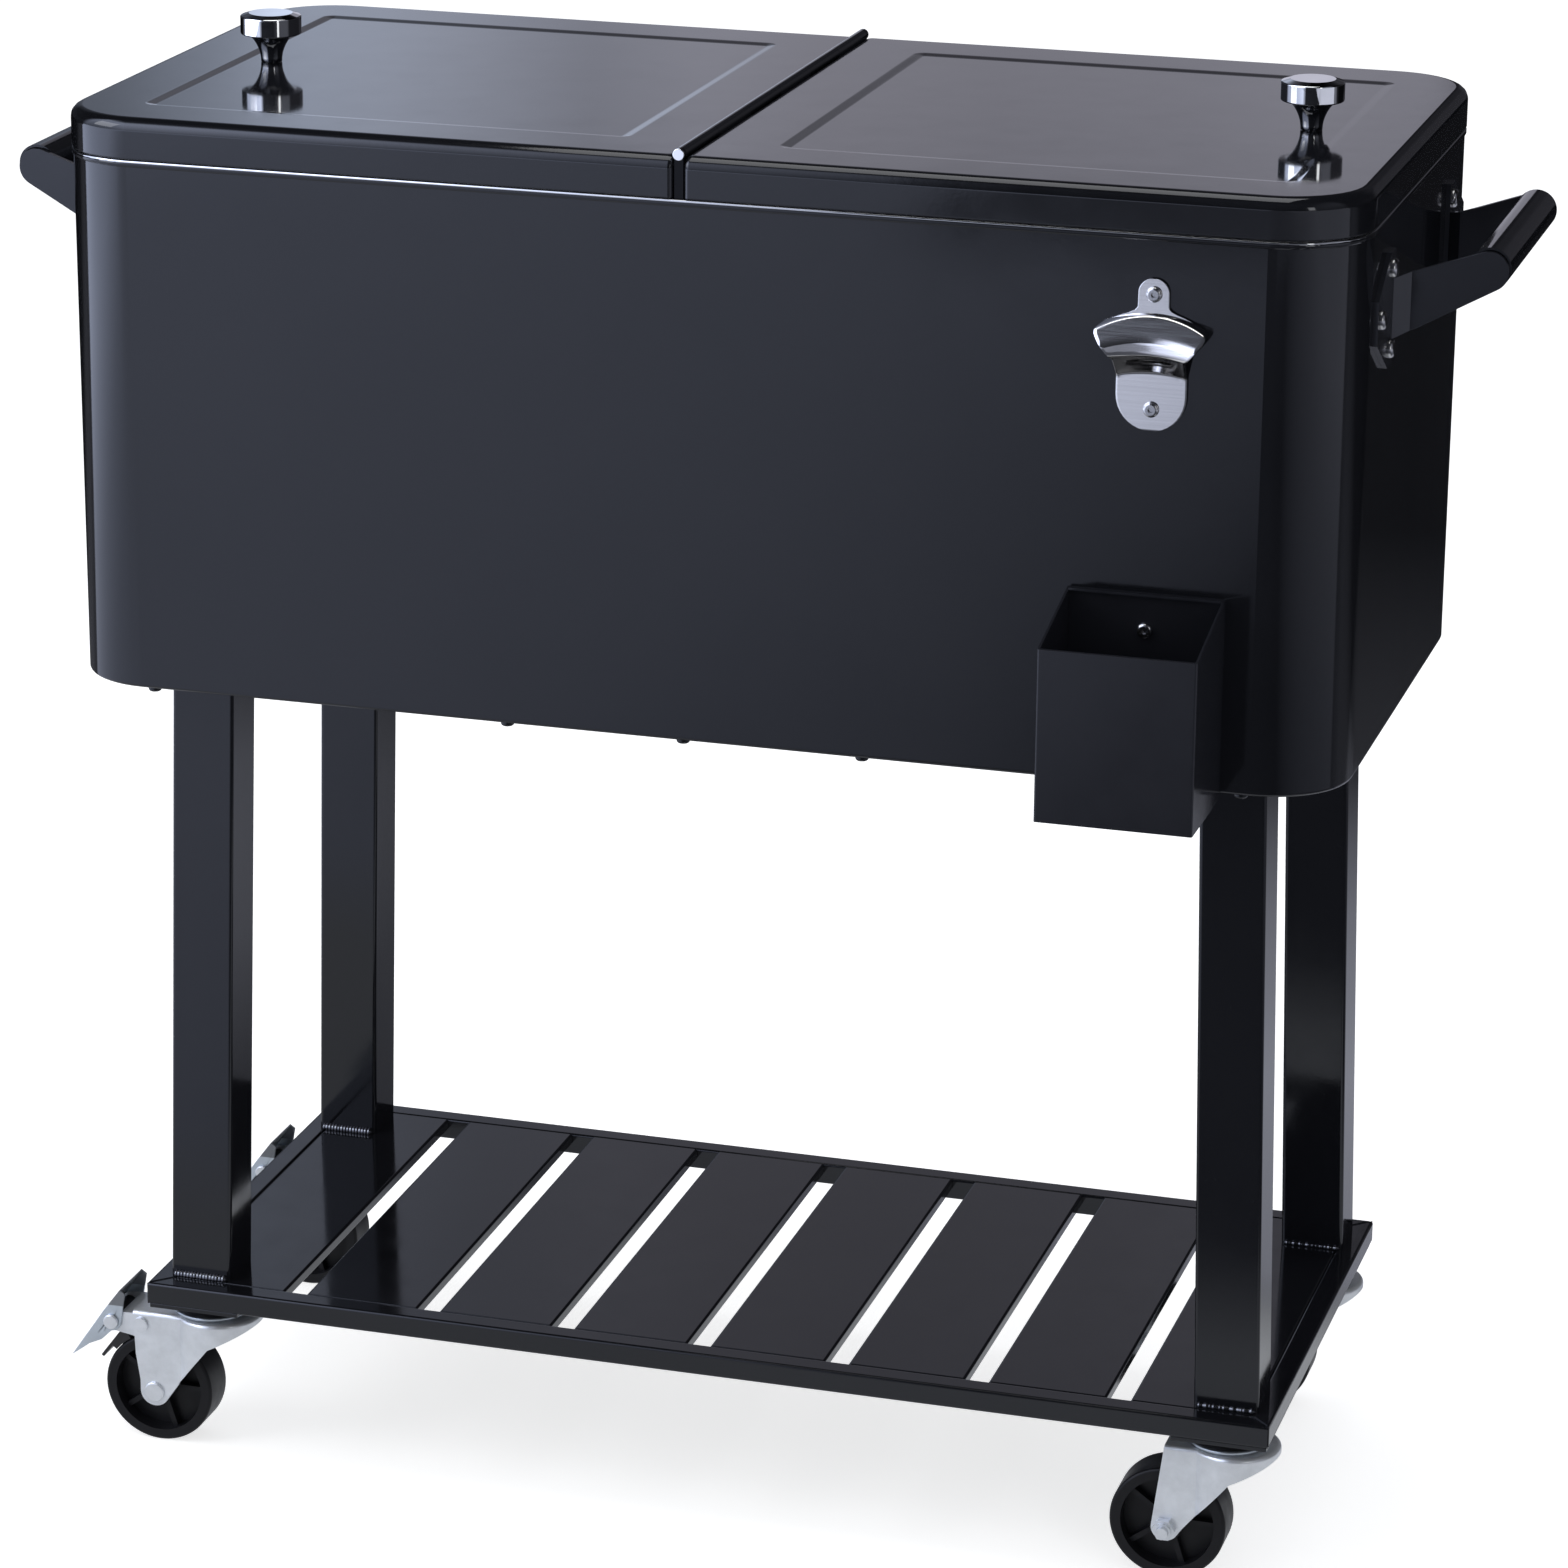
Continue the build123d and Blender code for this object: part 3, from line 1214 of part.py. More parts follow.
# Side view of a fork, in shares of the trail behind the swivel axis and of the crown's height above the
# axle: back of the crown, back of the foot, foot, front of the foot, front bend, front of the skirt
plain_fork_shares = ((-1.05, 1.0), (-1.25, 0.02), (-0.81, -0.09), (0.17, 0.68), (0.98, 0.925), (0.98, 1.0))
brake_fork_shares = ((-1.4, 1.0), (-1.36, 0.45), (-1.25, 0.0)) + plain_fork_shares[2:]


def fork_form(shares, back):
    crown_rise = crown_top - wheel_radius
    with BuildPart() as form:
        for shrink, cut in ((0, Mode.ADD), (fork_sheet, Mode.SUBTRACT)):
            half = fork_half_width - shrink
            with BuildSketch(Plane.XY):
                with Locations((-back / 2, 0)):
                    Rectangle(back + 2 * shrink, 2 * half)
                with Locations((crown_forward, 0)):
                    Circle(crown_radius - shrink)
            extrude(amount=crown_top - shrink, mode=cut)
            if shrink == 0:
                fillet(faces().sort_by(Axis.Z)[-1].edges(), crown_edge_radius)
        with BuildSketch(Plane(origin=(0, 0, wheel_radius), x_dir=(1, 0, 0), z_dir=(0, -1, 0))):
            Polygon(*[(trail * x, crown_rise * z) for x, z in shares], align=None)
            with Locations((-trail, 0)):
                Circle(fork_foot_radius)
        extrude(amount=crown_radius, both=True, mode=Mode.INTERSECT)
        with BuildSketch(axle_plane):
            Circle(axle_radius + running_gap)
        extrude(amount=crown_radius, both=True, mode=Mode.SUBTRACT)
        with BuildSketch(Plane.XY.offset(crown_underside)):
            Circle(swivel_radius + running_gap)
        extrude(amount=fork_sheet, mode=Mode.SUBTRACT)
    return form.part


# Brake bracket: two arms inside the cheeks, joined under the crown, that carry the pedal's pin
bracket_plane = Plane(origin=(0, 0, 0), x_dir=(1, 0, 0), z_dir=(0, -1, 0))
pivot = (-pivot_back, pivot_height)
bracket_rivet = (-bracket_rivet_back, bracket_rivet_height)
bracket_top = crown_underside - seat_gap
bracket_arm_front = bracket_rivet_back - 2 * bracket_rivet_radius
with BuildPart() as bracket_form:
    with BuildSketch(bracket_plane):
        Polygon(
            (-bracket_arm_front, bracket_top),
            (-pivot_back, pivot_height + bracket_end_radius),
            (-pivot_back, pivot_height - bracket_end_radius),
            (
                -bracket_rivet_back - 3 * bracket_rivet_radius,
                bracket_rivet_height - 4 * bracket_rivet_radius,
            ),
            (-bracket_arm_front, bracket_rivet_height - 6 * bracket_rivet_radius),
            align=None,
        )
        with Locations(pivot):
            Circle(bracket_end_radius)
    extrude(amount=bracket_outer, both=True)
    with BuildSketch(bracket_plane):
        with Locations((-pivot_back / 2, bracket_top / 2 - bracket_sheet / 2)):
            Rectangle(2 * pivot_back, bracket_top - bracket_sheet)
    extrude(amount=bracket_outer - bracket_sheet, both=True, mode=Mode.SUBTRACT)
    with BuildSketch(bracket_plane):
        with Locations((-pivot_back - bracket_end_radius, pivot_height)):
            Rectangle(4 * bracket_end_radius, 4 * bracket_end_radius)
    extrude(amount=bracket_outer - bracket_sheet, both=True, mode=Mode.SUBTRACT)
    with BuildSketch(bracket_plane):
        with Locations(pivot):
            Circle(pivot_radius + running_gap)
        with Locations(bracket_rivet):
            Circle(bracket_rivet_radius + running_gap)
    extrude(amount=crown_radius, both=True, mode=Mode.SUBTRACT)
pedal_inner = bracket_outer + seat_gap
pedal_outer = pedal_inner + pedal_sheet
with BuildPart() as pivot_pin:
    with BuildSketch(bracket_plane):
        with Locations(pivot):
            Circle(pivot_radius)
    extrude(amount=pedal_outer + seat_gap, both=True)
    for face in (-1, 1):
        with BuildSketch(bracket_plane.offset(face * (pedal_outer + seat_gap))):
            with Locations(pivot):
                Circle(pivot_head_radius)
        extrude(amount=face * rivet_head)
    fillet(edges().group_by(Axis.Y)[0] + edges().group_by(Axis.Y)[-1], rivet_head / 2)
with BuildPart() as bracket_rivets:
    for face in (-1, 1):
        with BuildSketch(bracket_plane.offset(face * (bracket_outer - bracket_sheet))):
            with Locations(bracket_rivet):
                Circle(bracket_rivet_radius)
        extrude(amount=face * (fork_half_width - bracket_outer + bracket_sheet))
        with BuildSketch(bracket_plane.offset(face * fork_half_width)):
            with Locations(bracket_rivet):
                Circle(pivot_head_radius)
        extrude(amount=face * rivet_head)

# Brake pedal: a folded lever with a side wall each side of the bracket, a tread face and a release tab
tip = Vector(-pedal_tip_back, pedal_tip_height, 0)
bend = Vector(-pedal_bend_back, pedal_bend_height, 0)
tab = Vector(-pedal_tab_back, pedal_tab_height, 0)
pedal_run = bend - tip
pedal_inward = Vector(pedal_run.Y, -pedal_run.X, 0).normalized()
pedal_wall_shares = ((0.0, 0.0), (0.2, 0.3), (0.36, 0.52), (0.55, 1.0))
with BuildPart() as pedal_form:
    with BuildSketch(bracket_plane):
        wall_points = [
            tip + pedal_run * along + pedal_inward * 2 * pivot_head_radius * deep
            for along, deep in pedal_wall_shares
        ]
        Polygon(
            *wall_points,
            (-pivot_back, pivot_height - bracket_end_radius),
            (-pivot_back + bracket_end_radius, pivot_height),
            (tab + pedal_inward * 3 * pedal_sheet),
            tab,
            bend,
            align=None,
        )
        with Locations(pivot):
            Circle(bracket_end_radius)
    extrude(amount=pedal_outer, both=True)
    with BuildSketch(bracket_plane):
        lift = pedal_inward * pedal_sheet
        reach = pedal_run + (tab - bend)
        Polygon(
            (tip + lift),
            (tip + lift + pedal_inward * 2 * reach.length),
            (tab + lift + pedal_inward * 2 * reach.length + reach),
            (tab + lift + reach),
            (bend + lift),
            align=None,
        )
    extrude(amount=pedal_inner, both=True, mode=Mode.SUBTRACT)
    with BuildSketch(bracket_plane):
        with Locations(pivot):
            Circle(pivot_radius + running_gap)
    extrude(amount=crown_radius, both=True, mode=Mode.SUBTRACT)

# Brake shoe: a hub on the pedal's pin, a leaf that runs down over the tread, and a pad against it
tread_clear = wheel_radius + seat_gap
with BuildPart() as shoe_form:
    with BuildSketch(bracket_plane):
        with Locations(pivot):
            Circle(shoe_hub_radius)
        with BuildLine():
            Line(pivot, (-shoe_heel_back, shoe_heel_height))
            Line((-shoe_heel_back, shoe_heel_height), (-shoe_tip_back, shoe_tip_height))
        trace(line_width=shoe_leaf)
        Polygon(
            (-shoe_heel_back, shoe_heel_height),
            (
                -shoe_heel_back + (shoe_heel_back - shoe_tip_back) * shoe_pad_share,
                shoe_heel_height + (shoe_tip_height - shoe_heel_height) * shoe_pad_share,
            ),
            (-trail, wheel_radius),
            align=None,
        )
        with Locations((-trail, wheel_radius)):
            Circle(tread_clear, mode=Mode.SUBTRACT)
        with Locations(pivot):
            Circle(pivot_radius + running_gap, mode=Mode.SUBTRACT)
    extrude(amount=shoe_half_width, both=True)

plain_fork = fork_form(plain_fork_shares, trail + 2 * fork_foot_radius)
brake_fork = fork_form(brake_fork_shares, trail + 2 * fork_foot_radius)
for end_name, end in ends:
    for side_name, side in sides:
        place = (end * swivel_x, case_y + side * swivel_y, 0)
        name = f"{side_name}_{end_name}"
        with BuildPart() as caster_fork:
            with Locations(place):
                add(plain_fork if end > 0 else brake_fork)
            if end < 0:
                with Locations((place[0] + bracket_rivet[0], place[1], bracket_rivet[1])):
                    Cylinder(
                        bracket_rivet_radius + running_gap,
                        2 * crown_radius,
                        rotation=(90, 0, 0),
                        mode=Mode.SUBTRACT,
                    )
        caster_fork.part.label = f"caster_fork_{name}"
        export_step(caster_fork.part, f"parts/caster_fork_{name}.step")

        with BuildPart() as caster_wheel:
            with Locations(place):
                add(wheel_form.part)
        caster_wheel.part.label = f"caster_wheel_{name}"
        export_step(caster_wheel.part, f"parts/caster_wheel_{name}.step")

        with BuildPart() as caster_axle:
            with Locations(place):
                if end > 0:
                    add(bolt_axle.part)
                    add(axle_nut_form.part)
                else:
                    add(rivet_axle.part)
        caster_axle.part.label = f"caster_axle_{name}"
        export_step(caster_axle.part, f"parts/caster_axle_{name}.step")

# Brake pieces of the two left casters
for side_name, side in sides:
    place = (-swivel_x, case_y + side * swivel_y, 0)
    with BuildPart() as brake_bracket:
        with Locations(place):
            add(bracket_form.part)
            add(bracket_rivets.part)
            add(pivot_pin.part)
    brake_bracket.part.label = f"brake_bracket_{side_name}"
    export_step(brake_bracket.part, f"parts/brake_bracket_{side_name}.step")

    with BuildPart() as brake_pedal:
        with Locations(place):
            add(pedal_form.part)
    brake_pedal.part.label = f"brake_pedal_{side_name}"
    export_step(brake_pedal.part, f"parts/brake_pedal_{side_name}.step")

    with BuildPart() as brake_shoe:
        with Locations(place):
            add(shoe_form.part)
    brake_shoe.part.label = f"brake_shoe_{side_name}"
    export_step(brake_shoe.part, f"parts/brake_shoe_{side_name}.step")
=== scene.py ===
import math

import bmesh
import bpy
from mathutils import Matrix, Vector, noise


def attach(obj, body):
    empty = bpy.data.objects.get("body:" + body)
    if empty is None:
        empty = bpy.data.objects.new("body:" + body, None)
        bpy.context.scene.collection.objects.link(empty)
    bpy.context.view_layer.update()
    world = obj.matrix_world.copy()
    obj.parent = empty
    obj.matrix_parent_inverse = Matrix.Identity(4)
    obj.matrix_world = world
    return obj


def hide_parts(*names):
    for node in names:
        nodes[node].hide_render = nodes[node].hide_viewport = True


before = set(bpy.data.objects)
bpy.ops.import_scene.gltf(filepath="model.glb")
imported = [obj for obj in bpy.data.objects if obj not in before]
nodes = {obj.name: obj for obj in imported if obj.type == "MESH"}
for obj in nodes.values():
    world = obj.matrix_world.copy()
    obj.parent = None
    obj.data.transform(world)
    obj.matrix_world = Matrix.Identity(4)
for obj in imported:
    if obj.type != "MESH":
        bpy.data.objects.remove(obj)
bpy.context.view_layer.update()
scene = bpy.context.scene

# Places in metres
CASE_Y = 0.037  # the case's middle plane, behind the origin by half of the catcher's reach
CASE_FACE = CASE_Y - 0.205  # the front wall
RIM = 0.8904
LID_TOP = 0.9164
SIDES = (("front", -1), ("back", 1))
ENDS = (("left", -1), ("right", 1))

CAMERA_ANGLES = (16.316, 18.306, 0.467)  # turn, pitch and roll in degrees
CAMERA_TARGET = Vector((0.00762, CASE_Y, 0.4582))
CAMERA_DISTANCE = 3.64535
CAMERA_LENS, CAMERA_SENSOR = 127.54, 36.0  # mm


# Camera at the photograph's viewing angle
def make_camera():
    azimuth, pitch, roll = (math.radians(a) for a in CAMERA_ANGLES)
    ahead = Vector(
        (-math.sin(azimuth) * math.cos(pitch), math.cos(azimuth) * math.cos(pitch), -math.sin(pitch))
    )
    right = Vector((math.cos(azimuth), math.sin(azimuth), 0))
    up = right.cross(ahead)
    across = math.cos(roll) * right + math.sin(roll) * up
    upward = -math.sin(roll) * right + math.cos(roll) * up
    place = Matrix((across, upward, -ahead)).transposed().to_4x4()
    place.translation = CAMERA_TARGET - ahead * CAMERA_DISTANCE
    data = bpy.data.cameras.new("camera")
    data.lens = CAMERA_LENS
    data.sensor_width = CAMERA_SENSOR
    data.clip_start = 0.05
    data.clip_end = 100.0
    camera = bpy.data.objects.new("camera", data)
    camera.matrix_world = place
    scene.collection.objects.link(camera)
    scene.camera = camera


make_camera()
scene.view_settings.view_transform = "Standard"


# Adds a node to a tree, with its settings and the values of its inputs
def put(tree, kind, inputs=None, **settings):
    node = tree.nodes.new(kind)
    for key, value in settings.items():
        setattr(node, key, value)
    for key, value in (inputs or {}).items():
        node.inputs[key].default_value = value
    return node


# New material, with its tree and its shader
def new_material(name):
    material = bpy.data.materials.new(name)
    material.use_nodes = True
    tree = material.node_tree
    shader = tree.nodes["Principled BSDF"]
    return material, tree, shader


# The object's own coordinates, stretched along its axes
def coords(tree, stretch=(1, 1, 1)):
    place = put(tree, "ShaderNodeTexCoord")
    mapping = put(tree, "ShaderNodeMapping", {"Scale": stretch})
    tree.links.new(place.outputs["Object"], mapping.inputs["Vector"])
    return mapping.outputs["Vector"]


# The x, y and z of a texture coordinate, as three numbers
def split_coords(tree, kind):
    place = put(tree, "ShaderNodeTexCoord")
    parts = put(tree, "ShaderNodeSeparateXYZ")
    tree.links.new(place.outputs[kind], parts.inputs["Vector"])
    return [parts.outputs[axis] for axis in "XYZ"]


# Noise over the object's own coordinates
def noise_out(tree, scale, detail=3.0, roughness=0.55, stretch=(1, 1, 1)):
    node = put(tree, "ShaderNodeTexNoise", {"Scale": scale, "Detail": detail, "Roughness": roughness})
    tree.links.new(coords(tree, stretch), node.inputs["Vector"])
    return node.outputs["Fac"]


# Carries the range from start to end over to the range from low to high
def spread(tree, source, low, high, start=0.3, end=0.7):
    node = put(
        tree, "ShaderNodeMapRange", {"From Min": start, "From Max": end, "To Min": low, "To Max": high}
    )
    tree.links.new(source, node.inputs["Value"])
    return node.outputs["Result"]


# Product of two numbers
def times(tree, first, second):
    node = put(tree, "ShaderNodeMath", operation="MULTIPLY")
    for index, value in enumerate((first, second)):
        tree.links.new(value, node.inputs[index])
    return node.outputs[0]


# Mixes two colours. Each is a plain colour or another node's output
def blend_colour(tree, factor, first, second):
    node = put(tree, "ShaderNodeMix", data_type="RGBA")
    colours = [s for s in node.inputs if s.type == "RGBA"]
    for socket, colour in zip(colours, (first, second)):
        if isinstance(colour, bpy.types.NodeSocket):
            tree.links.new(colour, socket)
        else:
            socket.default_value = (*colour, 1)
    tree.links.new(factor, node.inputs[0])
    return [s for s in node.outputs if s.type == "RGBA"][0]


# Bumps laid over each other, each with its height, distance and strength
def bumps(tree, shader, layers):
    previous = None
    for height, distance, strength in layers:
        node = put(tree, "ShaderNodeBump", {"Strength": strength, "Distance": distance})
        tree.links.new(height, node.inputs["Height"])
        if previous is not None:
            tree.links.new(previous, node.inputs["Normal"])
        previous = node.outputs["Normal"]
    tree.links.new(previous, shader.inputs["Normal"])


# The same colour, paler or darker
def toned(colour, share):
    return tuple(share * c for c in colour)


# Base colour that follows a noise from the dark tone to the pale one
def vary_colour(tree, shader, source, dark, pale):
    colour = blend_colour(tree, spread(tree, source, 0.0, 1.0), dark, pale)
    tree.links.new(colour, shader.inputs["Base Color"])


# Roughness that follows a noise between two values
def vary_roughness(tree, shader, source, low, high):
    tree.links.new(spread(tree, source, low, high), shader.inputs["Roughness"])


PAINT_TONES = ((0.0058, 0.0062, 0.0082), (0.0088, 0.0092, 0.0118))
PAINT_SHINE = (0.93, 0.95, 1.0, 1)
DUST = (0.035, 0.036, 0.04)


# Baked gloss paint on sheet steel: faint orange peel, slight waves in the sheet, fine dust
def black_paint(name, gloss=0.07, peel=1.0, wave=1.0, tone=1.0, ior=1.5):
    material, tree, shader = new_material(name)
    patches = noise_out(tree, 5.0, 4.0)
    dark, pale = (toned(colour, tone) for colour in PAINT_TONES)
    colour = blend_colour(tree, spread(tree, patches, 0.0, 1.0), dark, pale)
    dust = spread(tree, noise_out(tree, 900.0, 1.0), 0.0, 0.5, 0.74, 0.82)
    tree.links.new(blend_colour(tree, dust, colour, DUST), shader.inputs["Base Color"])
    vary_roughness(tree, shader, noise_out(tree, 38.0, 5.0, 0.65), gloss * 0.75, gloss * 1.45)
    shader.inputs["IOR"].default_value = ior
    shader.inputs["Specular Tint"].default_value = PAINT_SHINE
    orange = noise_out(tree, 330.0, 2.0)
    sheet = noise_out(tree, 9.0, 2.0)
    bumps(tree, shader, ((sheet, 0.0006 * wave, 0.25), (orange, 0.00002 * peel, 0.3)))
    return material


ZINC_METALLIC = 0.75


# Zinc plating with its bluish, slightly cloudy sheen
def zinc(name, tint=(0.60, 0.66, 0.72), rough=0.34, metallic=ZINC_METALLIC):
    material, tree, shader = new_material(name)
    vary_colour(tree, shader, noise_out(tree, 60.0, 5.0, 0.6), toned(tint, 0.82), tint)
    shader.inputs["Metallic"].default_value = metallic
    drawn = noise_out(tree, 120.0, 3.0, 0.6, (1, 1, 6))
    vary_roughness(tree, shader, drawn, rough * 0.85, rough * 1.2)
    grain, waves = noise_out(tree, 700.0, 3.0), noise_out(tree, 30.0, 1.0)
    bumps(tree, shader, ((grain, 0.00003, 0.3), (waves, 0.0002, 0.2)))
    return material


CHROME_TONES = ((0.80, 0.81, 0.83), (0.87, 0.88, 0.90))


# Polished chrome plating with a faint haze
def chrome(name, shade=1.0):
    material, tree, shader = new_material(name)
    haze = noise_out(tree, 90.0, 4.0)
    dark, pale = (toned(colour, shade) for colour in CHROME_TONES)
    vary_colour(tree, shader, haze, dark, pale)
    shader.inputs["Metallic"].default_value = 1.0
    vary_roughness(tree, shader, haze, 0.02, 0.055)
    bumps(tree, shader, ((noise_out(tree, 160.0, 2.0), 0.00001, 0.2),))
    return material


# Stainless sheet brushed from side to side
def brushed(name, tint, rough):
    material, tree, shader = new_material(name)
    lines = noise_out(tree, 260.0, 4.0, 0.7, (0.05, 1, 3.5))
    vary_colour(tree, shader, lines, toned(tint, 0.86), tint)
    shader.inputs["Metallic"].default_value = 1.0
    vary_roughness(tree, shader, lines, rough * 0.8, rough * 1.35)
    bumps(tree, shader, ((lines, 0.00003, 0.35), (noise_out(tree, 45.0, 2.0), 0.0001, 0.12)))
    return material


# Moulded plastic or rubber with a fine grain
def moulded(name, colour, rough, grain=1.0, shade=0.75, sheen=0.5):
    material, tree, shader = new_material(name)
    patches = noise_out(tree, 24.0, 4.0)
    vary_colour(tree, shader, patches, toned(colour, shade), colour)
    vary_roughness(tree, shader, noise_out(tree, 70.0, 5.0), rough * 0.8, rough * 1.2)
    shader.inputs["Specular IOR Level"].default_value = sheen
    fine = noise_out(tree, 950.0, 3.0)
    bumps(tree, shader, ((fine, 0.00004 * grain, 0.4), (patches, 0.00012 * grain, 0.15)))
    return material


# Rigid foam with small cells
def foam_material(name):
    material, tree, shader = new_material(name)
    cells = put(tree, "ShaderNodeTexVoronoi", {"Scale": 700.0})
    tree.links.new(coords(tree), cells.inputs["Vector"])
    depth = cells.outputs["Distance"]
    share = spread(tree, depth, 0.0, 1.0, 0.0, 0.6)
    colour = blend_colour(tree, share, (0.80, 0.73, 0.52), (0.92, 0.87, 0.70))
    tree.links.new(colour, shader.inputs["Base Color"])
    shader.inputs["Roughness"].default_value = 0.9
    bumps(tree, shader, ((depth, 0.0006, 0.6),))
    return material


# Zinc that turns into another colour between two heights, and is no metal there
def capped_zinc(name, low, high, cap=(0.012, 0.012, 0.014)):
    material = zinc(name)
    tree = material.node_tree
    shader = tree.nodes["Principled BSDF"]
    height = split_coords(tree, "Object")[2]
    above = put(tree, "ShaderNodeMath", {1: low}, operation="GREATER_THAN")
    below = put(tree, "ShaderNodeMath", {1: high}, operation="LESS_THAN")
    for node in (above, below):
        tree.links.new(height, node.inputs[0])
    between = times(tree, above.outputs[0], below.outputs[0])
    plain = shader.inputs["Base Color"].links[0].from_socket
    tree.links.new(blend_colour(tree, between, plain, cap), shader.inputs["Base Color"])
    metal = put(tree, "ShaderNodeMath", {0: ZINC_METALLIC}, operation="MULTIPLY")
    rest = put(tree, "ShaderNodeMath", {0: 1.0}, operation="SUBTRACT")
    tree.links.new(between, rest.inputs[1])
    tree.links.new(rest.outputs[0], metal.inputs[1])
    tree.links.new(metal.outputs[0], shader.inputs["Metallic"])
    return material


PAINT = black_paint("case_paint")
PAINT_LID = black_paint("lid_paint", gloss=0.06, wave=1.2)
# Metal look for the rim roll: a painted highlight on the black-painted rim
RIM_HIGHLIGHT = chrome("rim_painted_highlight", 0.7)
# Black paint on the welds that shines more strongly than the case paint: a painted highlight along the beads
PAINT_WELD_SHINE = black_paint("weld_paint_painted_highlight", gloss=0.12, peel=0.3, wave=0.0, ior=2.0)
# Black paint, darker and less shiny than the case paint, for the centre bar: painted shade in the gap
# between the lids
PAINT_POST_SHADE = black_paint("post_paint_with_painted_shade", gloss=0.2, tone=0.5, ior=1.25)
PAINT_FRAME = black_paint("frame_paint", gloss=0.09, peel=1.4, wave=0.5)
# Paler copy of the black paint for the cap catcher and handle brackets: painted light
PAINT_FOLDED_LIT = black_paint("folded_sheet_painted_light", gloss=0.13, peel=1.6, wave=0.3, tone=2.2)
ZINC = zinc("zinc_plate", (0.87, 0.90, 0.94), 0.34, 0.6)
ZINC_DARK = zinc("zinc_bright_fixings", (0.52, 0.54, 0.57), 0.24, 0.95)
# Black over the cap of the swivel's race
ZINC_CAPPED = capped_zinc("zinc_with_black_cap", 0.0987, 0.1016)
# Dark grey over the top of the brake pedal: partly its dark tread, partly painted shade
ZINC_PEDAL_TREAD_SHADE = capped_zinc("zinc_with_dark_tread_and_painted_shade", 0.097, 0.2, (0.2, 0.215, 0.24))
CHROME = chrome("chrome_plate")
BRUSHED = brushed("brushed_stainless", (0.88, 0.87, 0.87), 0.095)
STAINLESS = brushed("stainless_fixings", (0.55, 0.55, 0.56), 0.2)
WHEEL = moulded("wheel_plastic", (0.010, 0.010, 0.012), 0.42, sheen=0.22)
BLACK_PLASTIC = moulded("black_plastic", (0.016, 0.016, 0.018), 0.34)
TUB = moulded("tub_plastic", (0.76, 0.775, 0.78), 0.24, 0.6, 0.96)
RUBBER = moulded("seal_rubber", (0.028, 0.028, 0.030), 0.62, 1.6)
FOAM = foam_material("insulation_foam")

# Look of each carried solid, by the start of its name. The first row that fits counts
LOOKS = (
    (("lid_shell",), PAINT_LID),
    (("case_liner", "lid_pan"), TUB),
    (("case_foam", "lid_foam"), FOAM),
    (("rim_gasket",), RUBBER),
    (("hinge_pin", "lid_knob"), CHROME),
    (("bottle_opener",), BRUSHED),
    (("front_screws", "handle_bolts"), STAINLESS),
    (("leg_bolts",), ZINC_DARK),
    (("caster_stems",), ZINC_CAPPED),
    (("brake_pedal",), ZINC_PEDAL_TREAD_SHADE),
    (("brake_shoe", "drain"), BLACK_PLASTIC),
    (("caster_fork", "caster_axle", "brake_", "swivel_bearings"), ZINC),
    (("caster_wheel",), WHEEL),
    (("cap_catcher", "handle_brackets"), PAINT_FOLDED_LIT),
    (("centre_bar",), PAINT_POST_SHADE),
    (("leg_", "shelf", "corner", "handle_grip", "base_"), PAINT_FRAME),
    (("",), PAINT),
)

# Small rounds on the sheet edges of the carried solids, from modifiers only
ROUNDS = {
    "cap_catcher": 0.0004,
    "handle_brackets_left": 0.0005,
    "handle_brackets_right": 0.0005,
    "shelf_slats": 0.0004,
    "bottle_opener": 0.0004,
    "corner_plates": 0.0004,
    "leg_bolts": 0.0003,
}
for side in ("front", "back", "left", "right"):
    ROUNDS[f"shelf_rail_{side}"] = 0.0015
for side, _ in SIDES:
    ROUNDS[f"brake_bracket_{side}"] = 0.0003
    ROUNDS[f"brake_pedal_{side}"] = 0.0003
    for end, _ in ENDS:
        ROUNDS[f"leg_{side}_{end}"] = 0.001
        ROUNDS[f"caster_fork_{side}_{end}"] = 0.0004
        ROUNDS[f"caster_axle_{side}_{end}"] = 0.0002


FINE_ROUND = 0.0004  # on the edges of the thin sheets that are made here


# Rounds every edge that turns by more than the angle, in degrees
def add_bevel(obj, width, angle=38):
    bevel = obj.modifiers.new("bevel", "BEVEL")
    bevel.width = width
    bevel.segments = 2
    bevel.limit_method = "ANGLE"
    bevel.angle_limit = math.radians(angle)


# Lets large faces lead the shading of small rounds
def add_normals(obj, weight=80):
    normals = obj.modifiers.new("normals", "WEIGHTED_NORMAL")
    normals.weight = weight
    return normals


# Gives a carried solid its look, joined vertices and small rounds
def dress(name, obj):
    obj.data.materials.clear()
    obj.data.materials.append(next(look for starts, look in LOOKS if name.startswith(starts)))
    weld = obj.modifiers.new("weld", "WELD")
    weld.merge_threshold = 0.00001
    if name in ROUNDS:
        add_bevel(obj, ROUNDS[name])
    add_normals(obj).keep_sharp = True


for name, obj in nodes.items():
    dress(name, obj)


# Builds an object from vertices and faces, in metres in the shared frame
def make_piece(name, verts, faces, material, body):
    mesh = bpy.data.meshes.new(name)
    mesh.from_pydata([tuple(v) for v in verts], [], faces)
    mesh.materials.append(material)
    mesh.update()
    for polygon in mesh.polygons:
        polygon.use_smooth = True
    obj = bpy.data.objects.new(name, mesh)
    scene.collection.objects.link(obj)
    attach(obj, body)
    return obj


# Faces of a stack of rings with the same count of points, closed at both ends
def stack_faces(rings, count):
    faces = []
    for i in range(rings - 1):
        low, high = i * count, (i + 1) * count
        for j in range(count):
            k = (j + 1) % count
            faces.append((low + j, low + k, high + k, high + j))
    faces.append(tuple(range(count - 1, -1, -1)))
    faces.append(tuple((rings - 1) * count + j for j in range(count)))
    return faces


